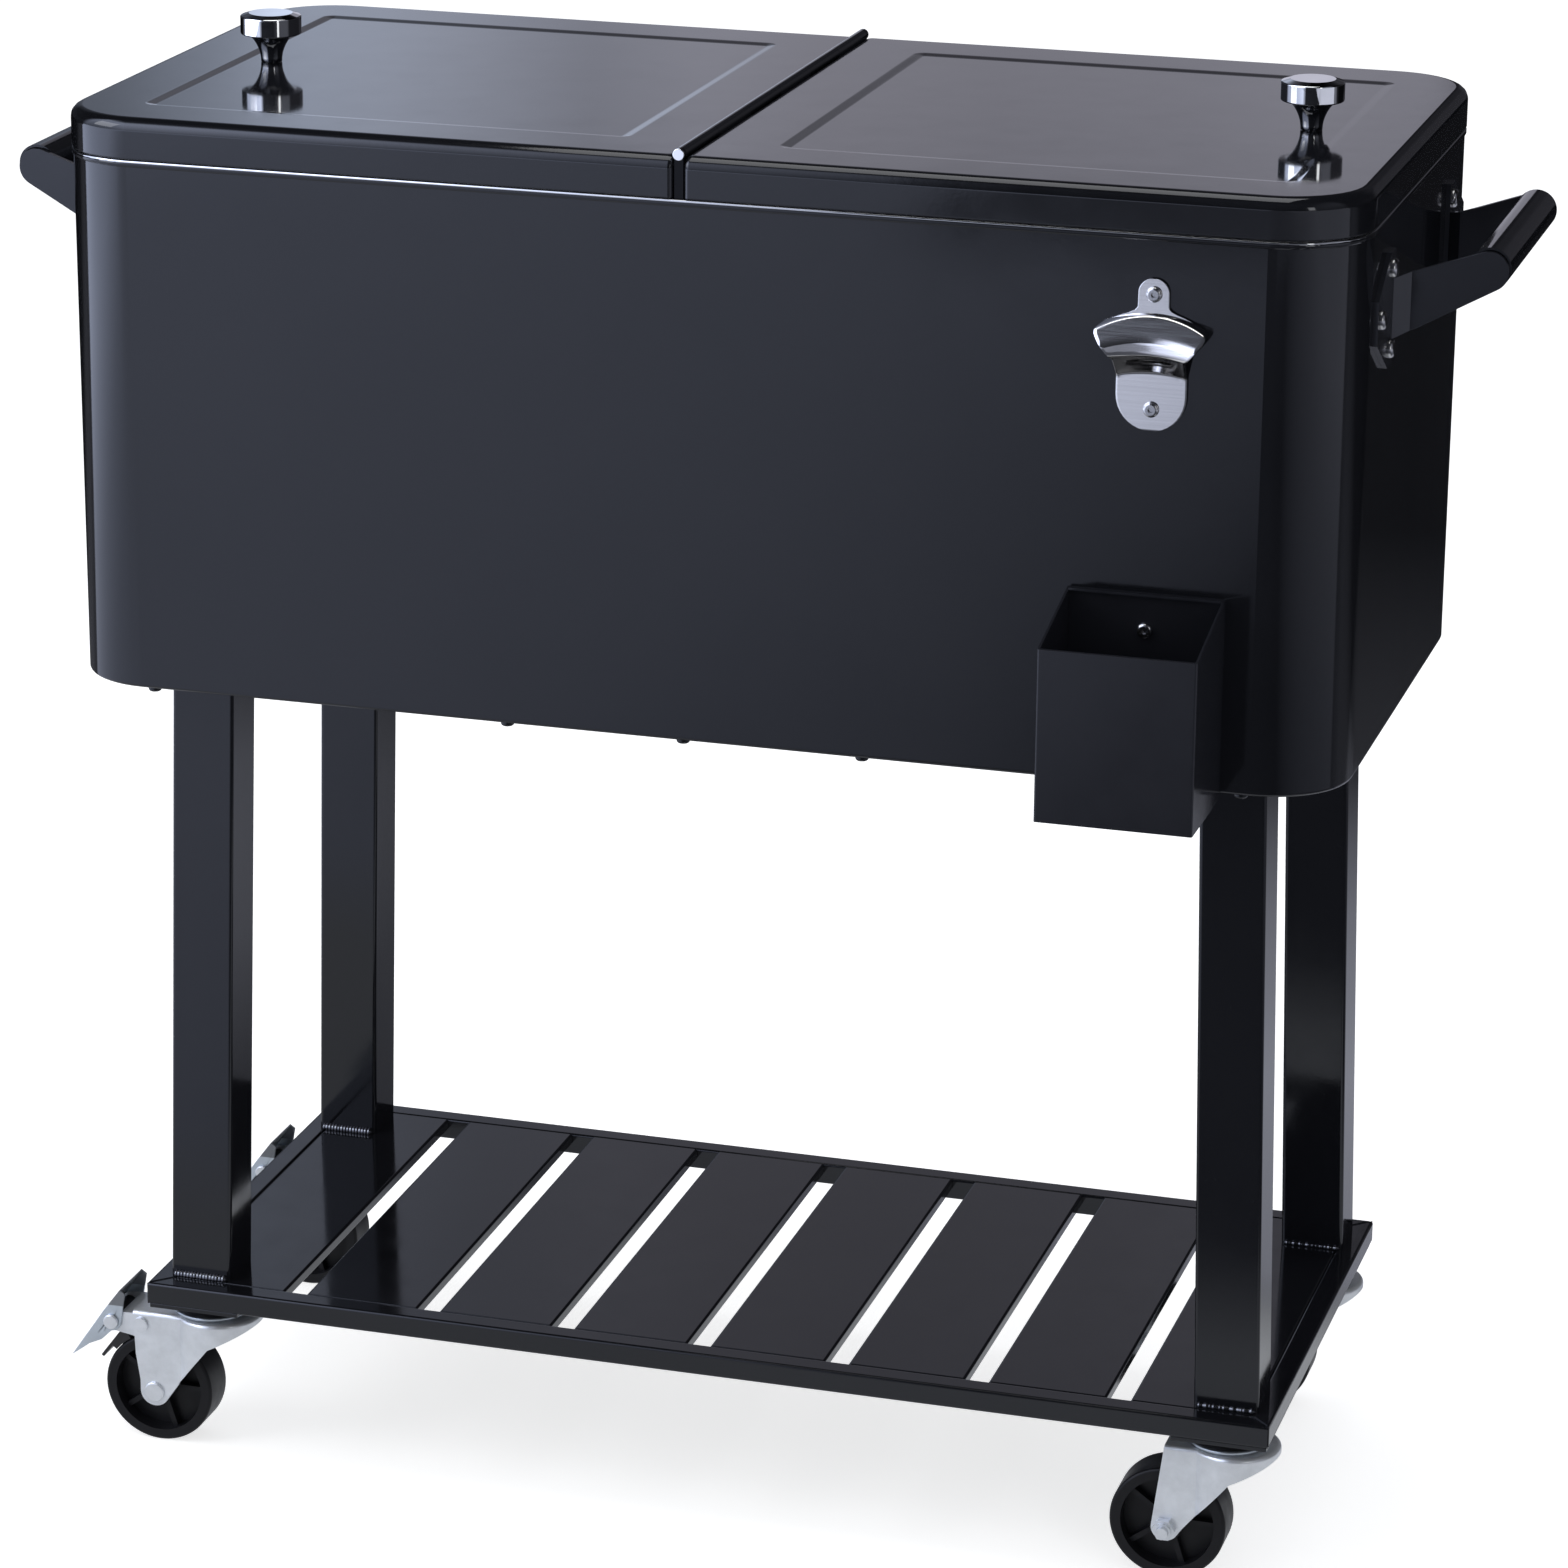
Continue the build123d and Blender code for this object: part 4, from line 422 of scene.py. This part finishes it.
# Rounds the corners of an outline in the plane of radius and height
def rounded(outline, steps=5):
    points = []
    for i, (x, z, radius) in enumerate(outline):
        here = Vector((x, z))
        if radius == 0 or i in (0, len(outline) - 1):
            points.append(here)
            continue
        back = (Vector(outline[i - 1][:2]) - here).normalized()
        ahead = (Vector(outline[i + 1][:2]) - here).normalized()
        half = back.angle(ahead) / 2
        reach = radius / math.tan(half)
        middle = here + (back + ahead).normalized() * radius / math.sin(half)
        first, last = here + back * reach - middle, here + ahead * reach - middle
        for j in range(steps + 1):
            points.append(middle + first.lerp(last, j / steps).normalized() * radius)
    return points


# Turned piece about an upright line: outline of radius, height and corner radius in metres
def lathe(name, outline, centre, material, body, turns=72):
    points = rounded(outline)
    x, y, z = centre
    verts = []
    for point in points:
        for j in range(turns):
            angle = math.tau * j / turns
            verts.append((x + point.x * math.cos(angle), y + point.x * math.sin(angle), z + point.y))
    obj = make_piece(name, verts, stack_faces(len(points), turns), material, body)
    add_normals(obj)
    return obj


# Level at a place along a table of places and levels
def along(table, value):
    for (a, low), (b, high) in zip(table, table[1:]):
        if value <= b:
            return low + (high - low) * (value - a) / (b - a)
    return table[-1][1]


# Closed outline in plan about the case's middle plane, with a corner radius at its near and its far end
def plan(end, near, far, half, near_radius, far_radius, z, steps=10):
    corners = (
        (near + near_radius, -(half - near_radius), near_radius, 180),
        (far - far_radius, -(half - far_radius), far_radius, 270),
        (far - far_radius, half - far_radius, far_radius, 0),
        (near + near_radius, half - near_radius, near_radius, 90),
    )
    ring = []
    for x, y, radius, start in corners:
        for i in range(steps + 1):
            angle = math.radians(start + 90 * i / steps)
            ring.append((end * (x + radius * math.cos(angle)), CASE_Y + y + radius * math.sin(angle), z))
    return ring


# A lid's sheet in plan, its rounds, and the seam between the two, which lies left of the middle
LID_FAR, LID_HALF, LID_CORNER = 0.41225, 0.20575, 0.054
LID_BOTTOM = LID_TOP - 0.0254
EDGE_ROUND, SEAM_ROUND = 0.008, 0.003
SEAM_GAP, SEAM_SHIFT = 0.00365, 0.0015
# Turned-in lower edge: inset, corner radius at the seam and at the end, and height above the bottom
LID_HEM = (
    (0.0012, 0.001, 0.0528, 0.0021),
    (0.0012, 0.001, 0.0528, 0.0002),
    (0.0002, 0.0018, 0.0538, 0.0),
    (0.0, SEAM_ROUND, LID_CORNER, 0.0003),
    (0.0, SEAM_ROUND, LID_CORNER, 0.001),
)
# Sunk panel in plan, and the fall of its side over its slope
PANEL_NEAR, PANEL_FAR, PANEL_HALF, PANEL_CORNER = 0.0463, 0.3658, 0.1609, 0.0086
PANEL_SLOPE, PANEL_FALL = 0.0078, 0.001
PANEL_CURVE = ((0.0, 0.0), (0.1, 0.03), (0.2, 0.11), (0.8, 0.89), (0.9, 0.97), (1.0, 1.0))
EDGE_STEPS, PANEL_STEPS = 14, 8


# How far a round of this radius draws back at a height above its start
def round_inset(radius, height):
    return radius - math.sqrt(max(0.0, radius * radius - height * height))


# Pressed lid sheet: sides, rounded top edge, flat top and a shallow sunk panel with soft edges
def lid_sheet(name, end, node):
    near, far, half = SEAM_GAP - end * SEAM_SHIFT, LID_FAR, LID_HALF
    rings = []
    for inset, seam_radius, radius, lift in LID_HEM:
        z = LID_BOTTOM + lift
        rings.append(plan(end, near + inset, far - inset, half - inset, seam_radius, radius, z))
    for i in range(EDGE_STEPS + 1):
        rise = math.sin(math.radians(90 * i / EDGE_STEPS)) * EDGE_ROUND
        inset = round_inset(EDGE_ROUND, rise)
        seam_inset = round_inset(SEAM_ROUND, max(0.0, rise - EDGE_ROUND + SEAM_ROUND))
        corner, z = LID_CORNER - inset, LID_TOP - EDGE_ROUND + rise
        rings.append(plan(end, near + seam_inset, far - inset, half - inset, SEAM_ROUND, corner, z))
    for i in range(PANEL_STEPS + 1):
        share = i / PANEL_STEPS
        slope = PANEL_SLOPE * share
        z = LID_TOP - PANEL_FALL * along(PANEL_CURVE, share)
        corner = PANEL_CORNER - slope
        rings.append(plan(end, PANEL_NEAR + slope, PANEL_FAR - slope, PANEL_HALF - slope, corner, corner, z))
    verts = [v for ring in rings for v in ring]
    faces = stack_faces(len(rings), len(rings[0]))
    if end < 0:
        faces = [tuple(reversed(face)) for face in faces]
    piece = make_piece(name, verts, faces, PAINT_LID, f"lid_{node}")
    add_normals(piece, 60)
    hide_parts(f"lid_shell_{node}")


for end, ex in ENDS:
    lid_sheet(f"lid_sheet_{end}", ex, end)


# Tube along a closed path in plan
def hoop(name, path, radius, material, body, turns=10):
    verts, faces = [], []
    count = len(path)
    for i, point in enumerate(path):
        ahead = Vector(path[(i + 1) % count]) - Vector(path[i - 1])
        outward = Vector((ahead.y, -ahead.x, 0)).normalized()
        for j in range(turns):
            angle = math.tau * j / turns
            offset = outward * radius * math.cos(angle)
            verts.append(Vector(point) + offset + Vector((0, 0, radius * math.sin(angle))))
    for i in range(count):
        for j in range(turns):
            a, b = i * turns, (i + 1) % count * turns
            k = (j + 1) % turns
            faces.append((a + j, b + j, b + k, a + k))
    make_piece(name, verts, faces, material, body)


# Bright metal roll along the rim of the case, under the lids: a painted highlight along the rim of the
# black-painted case
ROLL_LONG, ROLL_WIDE, ROLL_CORNER = 0.41125, 0.2047, 0.053
ROLL_DROP, ROLL_RADIUS = 0.0011, 0.00105
roll_path = plan(1, -ROLL_LONG, ROLL_LONG, ROLL_WIDE, ROLL_CORNER, ROLL_CORNER, RIM - ROLL_DROP)
hoop("rim_roll", roll_path, ROLL_RADIUS, RIM_HIGHLIGHT, "cart")


# Flat sheet with the given outline in the plane of x and z
def slab(name, outline, near_y, far_y, material, body):
    count = len(outline)
    verts = [(x, near_y, z) for x, z in outline] + [(x, far_y, z) for x, z in outline]
    faces = [tuple(range(count)), tuple(range(2 * count - 1, count - 1, -1))]
    faces += [(j, j + count, (j + 1) % count + count, (j + 1) % count) for j in range(count)]
    piece = make_piece(name, verts, faces, material, body)
    mesh = bmesh.new()
    mesh.from_mesh(piece.data)
    bmesh.ops.recalc_face_normals(mesh, faces=mesh.faces)
    mesh.to_mesh(piece.data)
    mesh.free()
    add_bevel(piece, FINE_ROUND)
    add_normals(piece)


OPENER_X, OPENER_THICK = 0.29175, 0.0016
# The opener's other measures are in mm: half widths, depths in front of the wall, and drops below the rim
OPENER_HEAD, OPENER_HEAD_DROP = 9.4, 35.8
OPENER_FOOT, OPENER_FOOT_DROP = 21.4, 97.3
OPENER_COLUMNS, ROW_STEPS, END_STEPS = 36, 3, 9
# Half width, drop at the edge and drop in the middle of its rows
OPENER_ROWS = (
    (9.4, 43.0, 43.0), (9.6, 44.2, 43.8), (11.2, 46.0, 44.6), (14.5, 47.6, 45.4), (19.0, 49.2, 46.2),
    (24.0, 51.4, 47.0), (29.0, 54.2, 48.0), (32.2, 56.4, 49.2), (33.4, 58.0, 50.4), (33.2, 60.0, 52.0),
    (31.6, 62.6, 55.0), (28.4, 66.8, 61.0), (25.4, 70.4, 66.4), (22.8, 72.8, 69.4), (21.9, 73.6, 70.4),
    (21.8, 76.2, 73.2), (21.6, 79.0, 76.2), (21.4, 83.0, 80.6), (21.4, 86.6, 84.6), (21.4, 92.0, 91.0),
    (21.4, 97.3, 97.3),
)
FLAT_DEPTH = 1.2
HOOD_DEPTH, HOOD_SLOPE, HOOD_DROP = 4.9, 0.67, 49.8
LIP_DEPTH, LIP_BOW, LIP_SLOPE, LIP_DROP = 12.4, 0.004, 0.04, 61
STEP_DROP, STEP_TALL, STEP_ARCH = 47.4, 2.0, 130
THROAT_SLOPE, THROAT_DROP, THROAT_ARCH = 0.9, 82.6, 144
RIB_DROP, RIB_HALF, RIB_TALL, RIB_DEPTH = 74.6, 14.5, 0.9, 0.9


# The lesser of two depths, with a soft change from one to the other
def soft_least(first, second):
    blend = 0.3
    return -blend * math.log(math.exp(-first / blend) + math.exp(-second / blend))


# Depth of the opener's strip in front of the wall: arched step, flat hood, lip, and back to the wall, in mm
def opener_depth(across, drop):
    level = drop - across * across / STEP_ARCH
    hood = HOOD_DEPTH + HOOD_SLOPE * (drop - HOOD_DROP)
    lip = LIP_DEPTH + LIP_BOW * across * across + LIP_SLOPE * (level - LIP_DROP)
    rise = min(1.0, max(0.0, (level - STEP_DROP) / STEP_TALL))
    rise = rise * rise * (3 - 2 * rise)
    arch = across * across / THROAT_ARCH
    throat = FLAT_DEPTH + THROAT_SLOPE * max(0.0, THROAT_DROP - drop + arch)
    rib = max(0.0, 1 - (across / RIB_HALF) ** 4) * math.exp(-(((drop - arch - RIB_DROP) / RIB_TALL) ** 2))
    front = FLAT_DEPTH + rise * (soft_least(max(FLAT_DEPTH, hood), lip) - FLAT_DEPTH)
    return soft_least(front, throat) + RIB_DEPTH * rib


# Bottle opener: one pressed strip with a hooded lip, its bends arched
def opener_sheet(middle, rim, face):
    rows = []
    for step in range(1, END_STEPS):
        angle = math.radians(90 * step / END_STEPS)
        drop = OPENER_HEAD_DROP - OPENER_HEAD * math.cos(angle)
        rows.append((OPENER_HEAD * math.sin(angle), drop, drop))
    for first, second in zip(OPENER_ROWS, OPENER_ROWS[1:]):
        for step in range(ROW_STEPS):
            rows.append([a + (b - a) * step / ROW_STEPS for a, b in zip(first, second)])
    for step in range(END_STEPS):
        angle = math.radians(90 * step / END_STEPS)
        drop = OPENER_FOOT_DROP + OPENER_FOOT * math.sin(angle)
        rows.append((OPENER_FOOT * math.cos(angle), drop, drop))
    columns = [-1 + 2 * step / OPENER_COLUMNS for step in range(OPENER_COLUMNS + 1)]
    verts, faces = [], []
    for half, edge, centre in rows:
        for share in columns:
            drop = centre + (edge - centre) * share * share
            across = half * share
            depth = opener_depth(across, drop)
            verts.append((middle + across / 1000, face - depth / 1000, rim - drop / 1000))
    wide = len(columns)
    for row in range(len(rows) - 1):
        for column in range(wide - 1):
            corner = row * wide + column
            faces.append((corner, corner + wide, corner + wide + 1, corner + 1))
    piece = make_piece("opener_strip", verts, faces, BRUSHED, "cart")
    solid = piece.modifiers.new("solid", "SOLIDIFY")
    solid.thickness = OPENER_THICK
    solid.offset = 0
    add_bevel(piece, FINE_ROUND, 50)
    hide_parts("bottle_opener")


opener_sheet(OPENER_X, RIM, CASE_FACE)

# Axle of each wheel, behind its swivel, and the two faces of a fork's cheek
SWIVEL_X, SWIVEL_Y, TRAIL, AXLE_Z = 0.3475, 0.138, 0.036, 0.0381
CHEEK_FACES = (0.01805, 0.02055)
# Radius of a fork's foot, and its outline above that, from the axle
FORK_FEET = {
    "left": (0.0103, [(0.018, 0.008), (0.006, 0.040), (-0.002, 0.052), (-0.0095, 0.046), (-0.0103, 0.030)]),
    "right": (0.0092, [(0.0165, 0.008), (0.010, 0.040), (0.004, 0.050), (-0.0015, 0.052), (-0.0055, 0.026)]),
}

# Wide round feet of the forks, flush on both cheeks
for end, ex in ENDS:
    for side, sy in SIDES:
        x, y = ex * SWIVEL_X - TRAIL, CASE_Y + sy * SWIVEL_Y
        radius, above = FORK_FEET[end]
        angles = [math.radians(a) for a in range(180, 331, 10)]
        outline = [(radius * math.cos(a), radius * math.sin(a)) for a in angles] + above
        outline = [(x + a, AXLE_Z + b) for a, b in outline]
        for label, face in (("outer", -1), ("inner", 1)):
            near_y, far_y = (y + face * depth for depth in CHEEK_FACES)
            name = f"fork_foot_{side}_{end}_{label}"
            slab(name, outline, near_y, far_y, ZINC, f"caster_{side}_{end}")

# Turned knobs, with a stud down through the lid
KNOB_X = 0.34175
KNOB = (
    (0.0010, -0.0126, 0),
    (0.0040, -0.0126, 0.0005),
    (0.0040, -0.0006, 0),
    (0.0068, -0.0006, 0),
    (0.0069, 0.0020, 0),
    (0.0074, 0.0050, 0),
    (0.0083, 0.0078, 0),
    (0.0095, 0.0105, 0),
    (0.0112, 0.0133, 0),
    (0.0146, 0.0174, 0),
    (0.0197, 0.0174, 0.0010),
    (0.0197, 0.0292, 0.0010),
    (0.0142, 0.0310, 0.0012),
    (0.0010, 0.0310, 0),
)
for end, ex in ENDS:
    knob = lathe(f"knob_{end}", KNOB, (ex * KNOB_X, CASE_Y, LID_TOP), CHROME, f"lid_{end}")
    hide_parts(f"lid_knob_{end}")

WELD_STEP, WELD_TURNS, WELD_TAPER = 0.0008, 8, 2.5
WELD_RIPPLE, WELD_RIPPLE_SHARE, WELD_LUMPS = 0.0022, 0.08, 420


# Lumpy bead of weld along a level line, half of it sunk in what it joins
def bead(first, last, radius, seed, lump):
    first, last = Vector(first), Vector(last)
    count = max(2, int((last - first).length / WELD_STEP))
    points = [first.lerp(last, i / count) for i in range(count)] + [last]
    verts = []
    for i, point in enumerate(points):
        ahead = (points[min(i + 1, count)] - points[max(i - 1, 0)]).normalized()
        side = ahead.cross(Vector((0, 0, 1))).normalized()
        over = side.cross(ahead)
        wobble = noise.noise(point * WELD_LUMPS + Vector((seed, 0, 0)))
        ripple = math.sin(i * WELD_STEP / WELD_RIPPLE * math.tau)
        size = radius * (1 + lump * wobble + WELD_RIPPLE_SHARE * ripple)
        taper = min(1.0, (i + 0.4) / WELD_TAPER, (count - i + 0.4) / WELD_TAPER)
        for j in range(WELD_TURNS):
            angle = math.tau * j / WELD_TURNS
            offset = side * math.cos(angle) + over * math.sin(angle)
            verts.append(point + offset * size * taper)
    return verts, stack_faces(len(points), WELD_TURNS)


# Place and half width of a leg's foot. Gap and height of its welds, and their radius and lumps at each end
FOOT_X, FOOT_Y, FOOT_HALF = 0.3484, 0.1378, 0.0195
WELD_GAP, WELD_Z = 0.0004, 0.1262
WELD_KINDS = {"left": (0.003, 0.05), "right": (0.0018, 0.35)}

# Welds where the legs stand on the shelf frame: across the front and the back of each foot
for end, ex in ENDS:
    for side, sy in SIDES:
        x, y = ex * FOOT_X, CASE_Y + sy * FOOT_Y
        radius, lump = WELD_KINDS[end]
        for label, face in (("outer", sy), ("inner", -sy)):
            edge = y + face * (FOOT_HALF + WELD_GAP)
            first, last = (x - FOOT_HALF, edge, WELD_Z), (x + FOOT_HALF, edge, WELD_Z)
            verts, faces = bead(first, last, radius, ex * 7 + sy * 3 + face, lump)
            make_piece(f"weld_{side}_{end}_{label}", verts, faces, PAINT_WELD_SHINE, "cart")

# The stage: mirror rays see fields of pale and dark, given as places and levels, where 1 is white
TOP_LEVEL = 4.0  # a ramp holds its levels as shares of this one
WHITE = (1, 1, 1)
COOL = (0.90, 1.0, 1.3)
PALE = (0.97, 1.0, 1.17)
FLOOR_HALF = 14
FLOOR_COLOUR, FLOOR_GLOW = (0.86, 0.86, 0.865, 1), 0.7
FLOOR_FRONT = (
    (-4.6, 2.6), (-3.7, 2.5), (-3.2, 2.0), (-2.6, 1.4), (-2.0, 1.1), (-1.45, 0.98), (-0.92, 0.84),
    (-0.65, 0.72), (-0.4, 0.54), (-0.22, 0.42), (-0.15, 0.3), (-0.08, 0.1), (1.1, 0.05),
    (1.45, 0.16), (1.9, 0.26), (2.4, 0.34), (2.9, 0.42), (3.6, 0.6),
)
FLOOR_FAR = (
    (-4.0, 2.4), (-2.6, 1.5), (-1.6, 1.02), (-0.92, 0.85), (-0.86, 0.26), (0.6, 0.22), (1.8, 0.3),
    (3.0, 0.6),
)
FLOOR_BACK = ((0.3, 0.36), (0.8, 0.54), (1.2, 0.36), (1.6, 0.05), (2.4, 0.01))
# Dark field under the object that mirror rays see: a painted shadow
FLOOR_UNDER_SHADOW = (0.155, 0.16, 0.17)
# Where the fields lie on the floor: from, to and the width of the soft edge, in metres
FAR_Y = (-20.0, -3.9, 0.1)
UNDER_X, UNDER_Y = (-1.1, 1.0, 0.25), (-0.7, 0.45, 0.2)
BESIDE_X, BEHIND_Y = (-0.1, 1.5, 0.3), (0.32, 20.0, 0.08)
BESIDE_DIM = (0.3, 0.3, 0.3)
BACKDROP_ACROSS = (
    (-0.62, 0.03), (-0.45, 0.16), (-0.39, 0.3), (-0.372, 0.54), (-0.36, 0.8), (-0.345, 0.78),
    (-0.33, 0.67), (-0.31, 0.5), (-0.29, 0.57), (-0.27, 0.5), (-0.24, 0.46), (-0.205, 0.48), (-0.186, 0.53),
    (-0.162, 0.5), (-0.152, 0.02), (-0.1, 0.02), (-0.04, 0.06), (0.35, 0.06), (0.5, 0.02),
)
BACKDROP_UP = (
    (0.0, 4.0), (0.205, 4.0), (0.235, 2.5), (0.265, 1.8), (0.3, 2.1), (0.4, 2.3), (0.55, 0.6), (0.7, 0.08),
)
BACKDROP_TINTS = ((0.91, 1.02, 1.28), (1.06, 1.05, 1.23), (-0.36, -0.28))
LIGHT_ACROSS = (
    (-1.0, 2.0), (-0.6, 3.2), (-0.4, 3.9), (-0.365, 3.2), (-0.35, 2.5), (-0.335, 2.05), (-0.306, 1.5),
    (-0.273, 1.15), (-0.258, 0.9), (-0.248, 0.06), (0.5, 0.04), (0.85, 0.3), (1.0, 0.3),
)
LIGHT_UP = ((0.0, 1.7), (0.12, 2.2), (0.45, 3.2), (0.7, 4.0), (0.8, 3.8), (0.86, 1.0), (0.9, 0.1))
WORLD_SOFT = (0.44, 0.45, 0.47)  # what lights the object evenly from all round


# Brightness along one direction, as pairs of place and level. The tint goes from first to last over the
# turn, or else over the whole of it
def ramp(tree, source, stops, first_tint, last_tint, turn=None):
    start, stop = stops[0][0], stops[-1][0]
    turn = turn or (start, stop)
    node = put(tree, "ShaderNodeValToRGB")
    ends = node.color_ramp.elements
    while len(ends) < len(stops):
        ends.new(0.5)
    for element, (place, level) in zip(ends, stops):
        element.position = (place - start) / (stop - start)
        lean = min(1.0, max(0.0, (place - turn[0]) / (turn[1] - turn[0])))
        tint = [a + (b - a) * lean for a, b in zip(first_tint, last_tint)]
        element.color = (*(channel * level / TOP_LEVEL for channel in tint), 1)
    tree.links.new(spread(tree, source, 0.0, 1.0, start, stop), node.inputs["Fac"])
    return node.outputs["Color"]


# 1 between two places and 0 beyond them, with soft edges
def window(tree, source, low, high, soft):
    rise = spread(tree, source, 0.0, 1.0, low, low + soft)
    fall = spread(tree, source, 1.0, 0.0, high - soft, high)
    return times(tree, rise, fall)


# A colour times a plain number
def scaled_colour(tree, colour, factor):
    node = put(tree, "ShaderNodeVectorMath", {"Scale": factor}, operation="SCALE")
    tree.links.new(colour, node.inputs[0])
    return node.outputs[0]


# Product of two colours
def tinted(tree, first, second):
    node = put(tree, "ShaderNodeVectorMath", operation="MULTIPLY")
    tree.links.new(first, node.inputs[0])
    tree.links.new(second, node.inputs[1])
    return node.outputs[0]


# The first shader, and the second one where the factor is 1
def either(tree, factor, first, second):
    node = put(tree, "ShaderNodeMixShader")
    for index, value in enumerate((factor, first, second)):
        tree.links.new(value, node.inputs[index])
    return node.outputs[0]


# Fields that mirror rays see on the floor: in front, farther out in front, under the object, where a dark
# field is a painted shadow, and behind it
def floor_fields(tree):
    x, y, _ = split_coords(tree, "Object")
    front = ramp(tree, x, FLOOR_FRONT, COOL, PALE)
    far = ramp(tree, x, FLOOR_FAR, COOL, PALE)
    tone = blend_colour(tree, window(tree, y, *FAR_Y), front, far)
    under = times(tree, window(tree, x, *UNDER_X), window(tree, y, *UNDER_Y))
    tone = blend_colour(tree, under, tone, FLOOR_UNDER_SHADOW)
    back = ramp(tree, y, FLOOR_BACK, PALE, PALE)
    beside = blend_colour(tree, window(tree, x, *BESIDE_X), BESIDE_DIM, WHITE)
    return blend_colour(tree, window(tree, y, *BEHIND_Y), tone, tinted(tree, back, beside))


# Pale floor: white to the camera, plain to the light, and the studio's fields to mirror rays
def make_stage():
    half = FLOOR_HALF
    mesh = bpy.data.meshes.new("floor")
    corners = [(-half, -half, 0), (half, -half, 0), (half, half, 0), (-half, half, 0)]
    mesh.from_pydata(corners, [], [(0, 1, 2, 3)])
    floor = bpy.data.objects.new("floor", mesh)
    scene.collection.objects.link(floor)
    material = bpy.data.materials.new("pale_floor")
    material.use_nodes = True
    tree = material.node_tree
    tree.nodes.clear()
    out = put(tree, "ShaderNodeOutputMaterial")
    paths = put(tree, "ShaderNodeLightPath")
    pale = put(tree, "ShaderNodeBsdfDiffuse", {"Color": FLOOR_COLOUR})
    seen = put(tree, "ShaderNodeEmission", {"Strength": TOP_LEVEL})
    tree.links.new(floor_fields(tree), seen.inputs["Color"])
    glow = put(tree, "ShaderNodeEmission", {"Color": (1, 1, 1, 1), "Strength": FLOOR_GLOW})
    white = put(tree, "ShaderNodeAddShader")
    tree.links.new(pale.outputs[0], white.inputs[0])
    tree.links.new(glow.outputs[0], white.inputs[1])
    mirrored = either(tree, paths.outputs["Is Glossy Ray"], pale.outputs[0], seen.outputs[0])
    final = either(tree, paths.outputs["Is Camera Ray"], mirrored, white.outputs[0])
    tree.links.new(final, out.inputs["Surface"])
    mesh.materials.append(material)


# Surroundings by direction: to mirror rays a pale backdrop behind, a large soft light at the front left and
# the rest dim, to the camera white, and an even soft level to all else
def make_world():
    world = bpy.data.worlds.new("studio")
    scene.world = world
    world.use_nodes = True
    tree = world.node_tree
    tree.nodes.clear()
    out = put(tree, "ShaderNodeOutputWorld")
    paths = put(tree, "ShaderNodeLightPath")
    x, y, z = split_coords(tree, "Generated")
    across = ramp(tree, x, BACKDROP_ACROSS, *BACKDROP_TINTS)
    backdrop = tinted(tree, across, ramp(tree, z, BACKDROP_UP, WHITE, WHITE))
    across = ramp(tree, x, LIGHT_ACROSS, COOL, PALE)
    soft_light = tinted(tree, across, ramp(tree, z, LIGHT_UP, WHITE, WHITE))
    turned = put(
        tree,
        "ShaderNodeMapRange",
        {"From Min": -0.1, "From Max": 0.1, "To Min": 0.0, "To Max": 1.0},
        interpolation_type="SMOOTHSTEP",
    )
    tree.links.new(y, turned.inputs["Value"])
    fields = blend_colour(tree, turned.outputs[0], soft_light, backdrop)
    mirrored = scaled_colour(tree, fields, TOP_LEVEL)
    soft = blend_colour(tree, paths.outputs["Is Glossy Ray"], WORLD_SOFT, mirrored)
    seen = put(tree, "ShaderNodeMath", operation="MAXIMUM")
    tree.links.new(paths.outputs["Is Camera Ray"], seen.inputs[0])
    tree.links.new(paths.outputs["Is Transmission Ray"], seen.inputs[1])
    colour = blend_colour(tree, seen.outputs[0], soft, WHITE)
    light = put(tree, "ShaderNodeBackground", {"Strength": 1.0})
    tree.links.new(colour, light.inputs["Color"])
    tree.links.new(light.outputs[0], out.inputs["Surface"])


# The lamps: name, place, the point it faces, width, height and watts
LAMPS = (
    ("overhead", (-0.175, 0.0, 3.4), (-0.175, 0.0, 0.0), 1.55, 2.01, 24.5),
    ("key_left", (-2.6, -1.6, 2.3), (0, 0, 0.6), 1.6, 1.6, 24),
    ("fill_right", (2.6, -2.6, 1.7), (0, 0, 0.5), 0.5, 1.4, 6),
)


# Rectangular soft light that faces a point
def lamp(name, place, target, width, height, watts):
    data = bpy.data.lights.new(name, "AREA")
    data.shape = "RECTANGLE"
    data.size = width
    data.size_y = height
    data.energy = watts
    obj = bpy.data.objects.new(name, data)
    obj.location = place
    obj.rotation_mode = "QUATERNION"
    obj.rotation_quaternion = (Vector(target) - Vector(place)).to_track_quat("-Z", "Y")
    scene.collection.objects.link(obj)


make_stage()
make_world()
for row in LAMPS:
    lamp(*row)
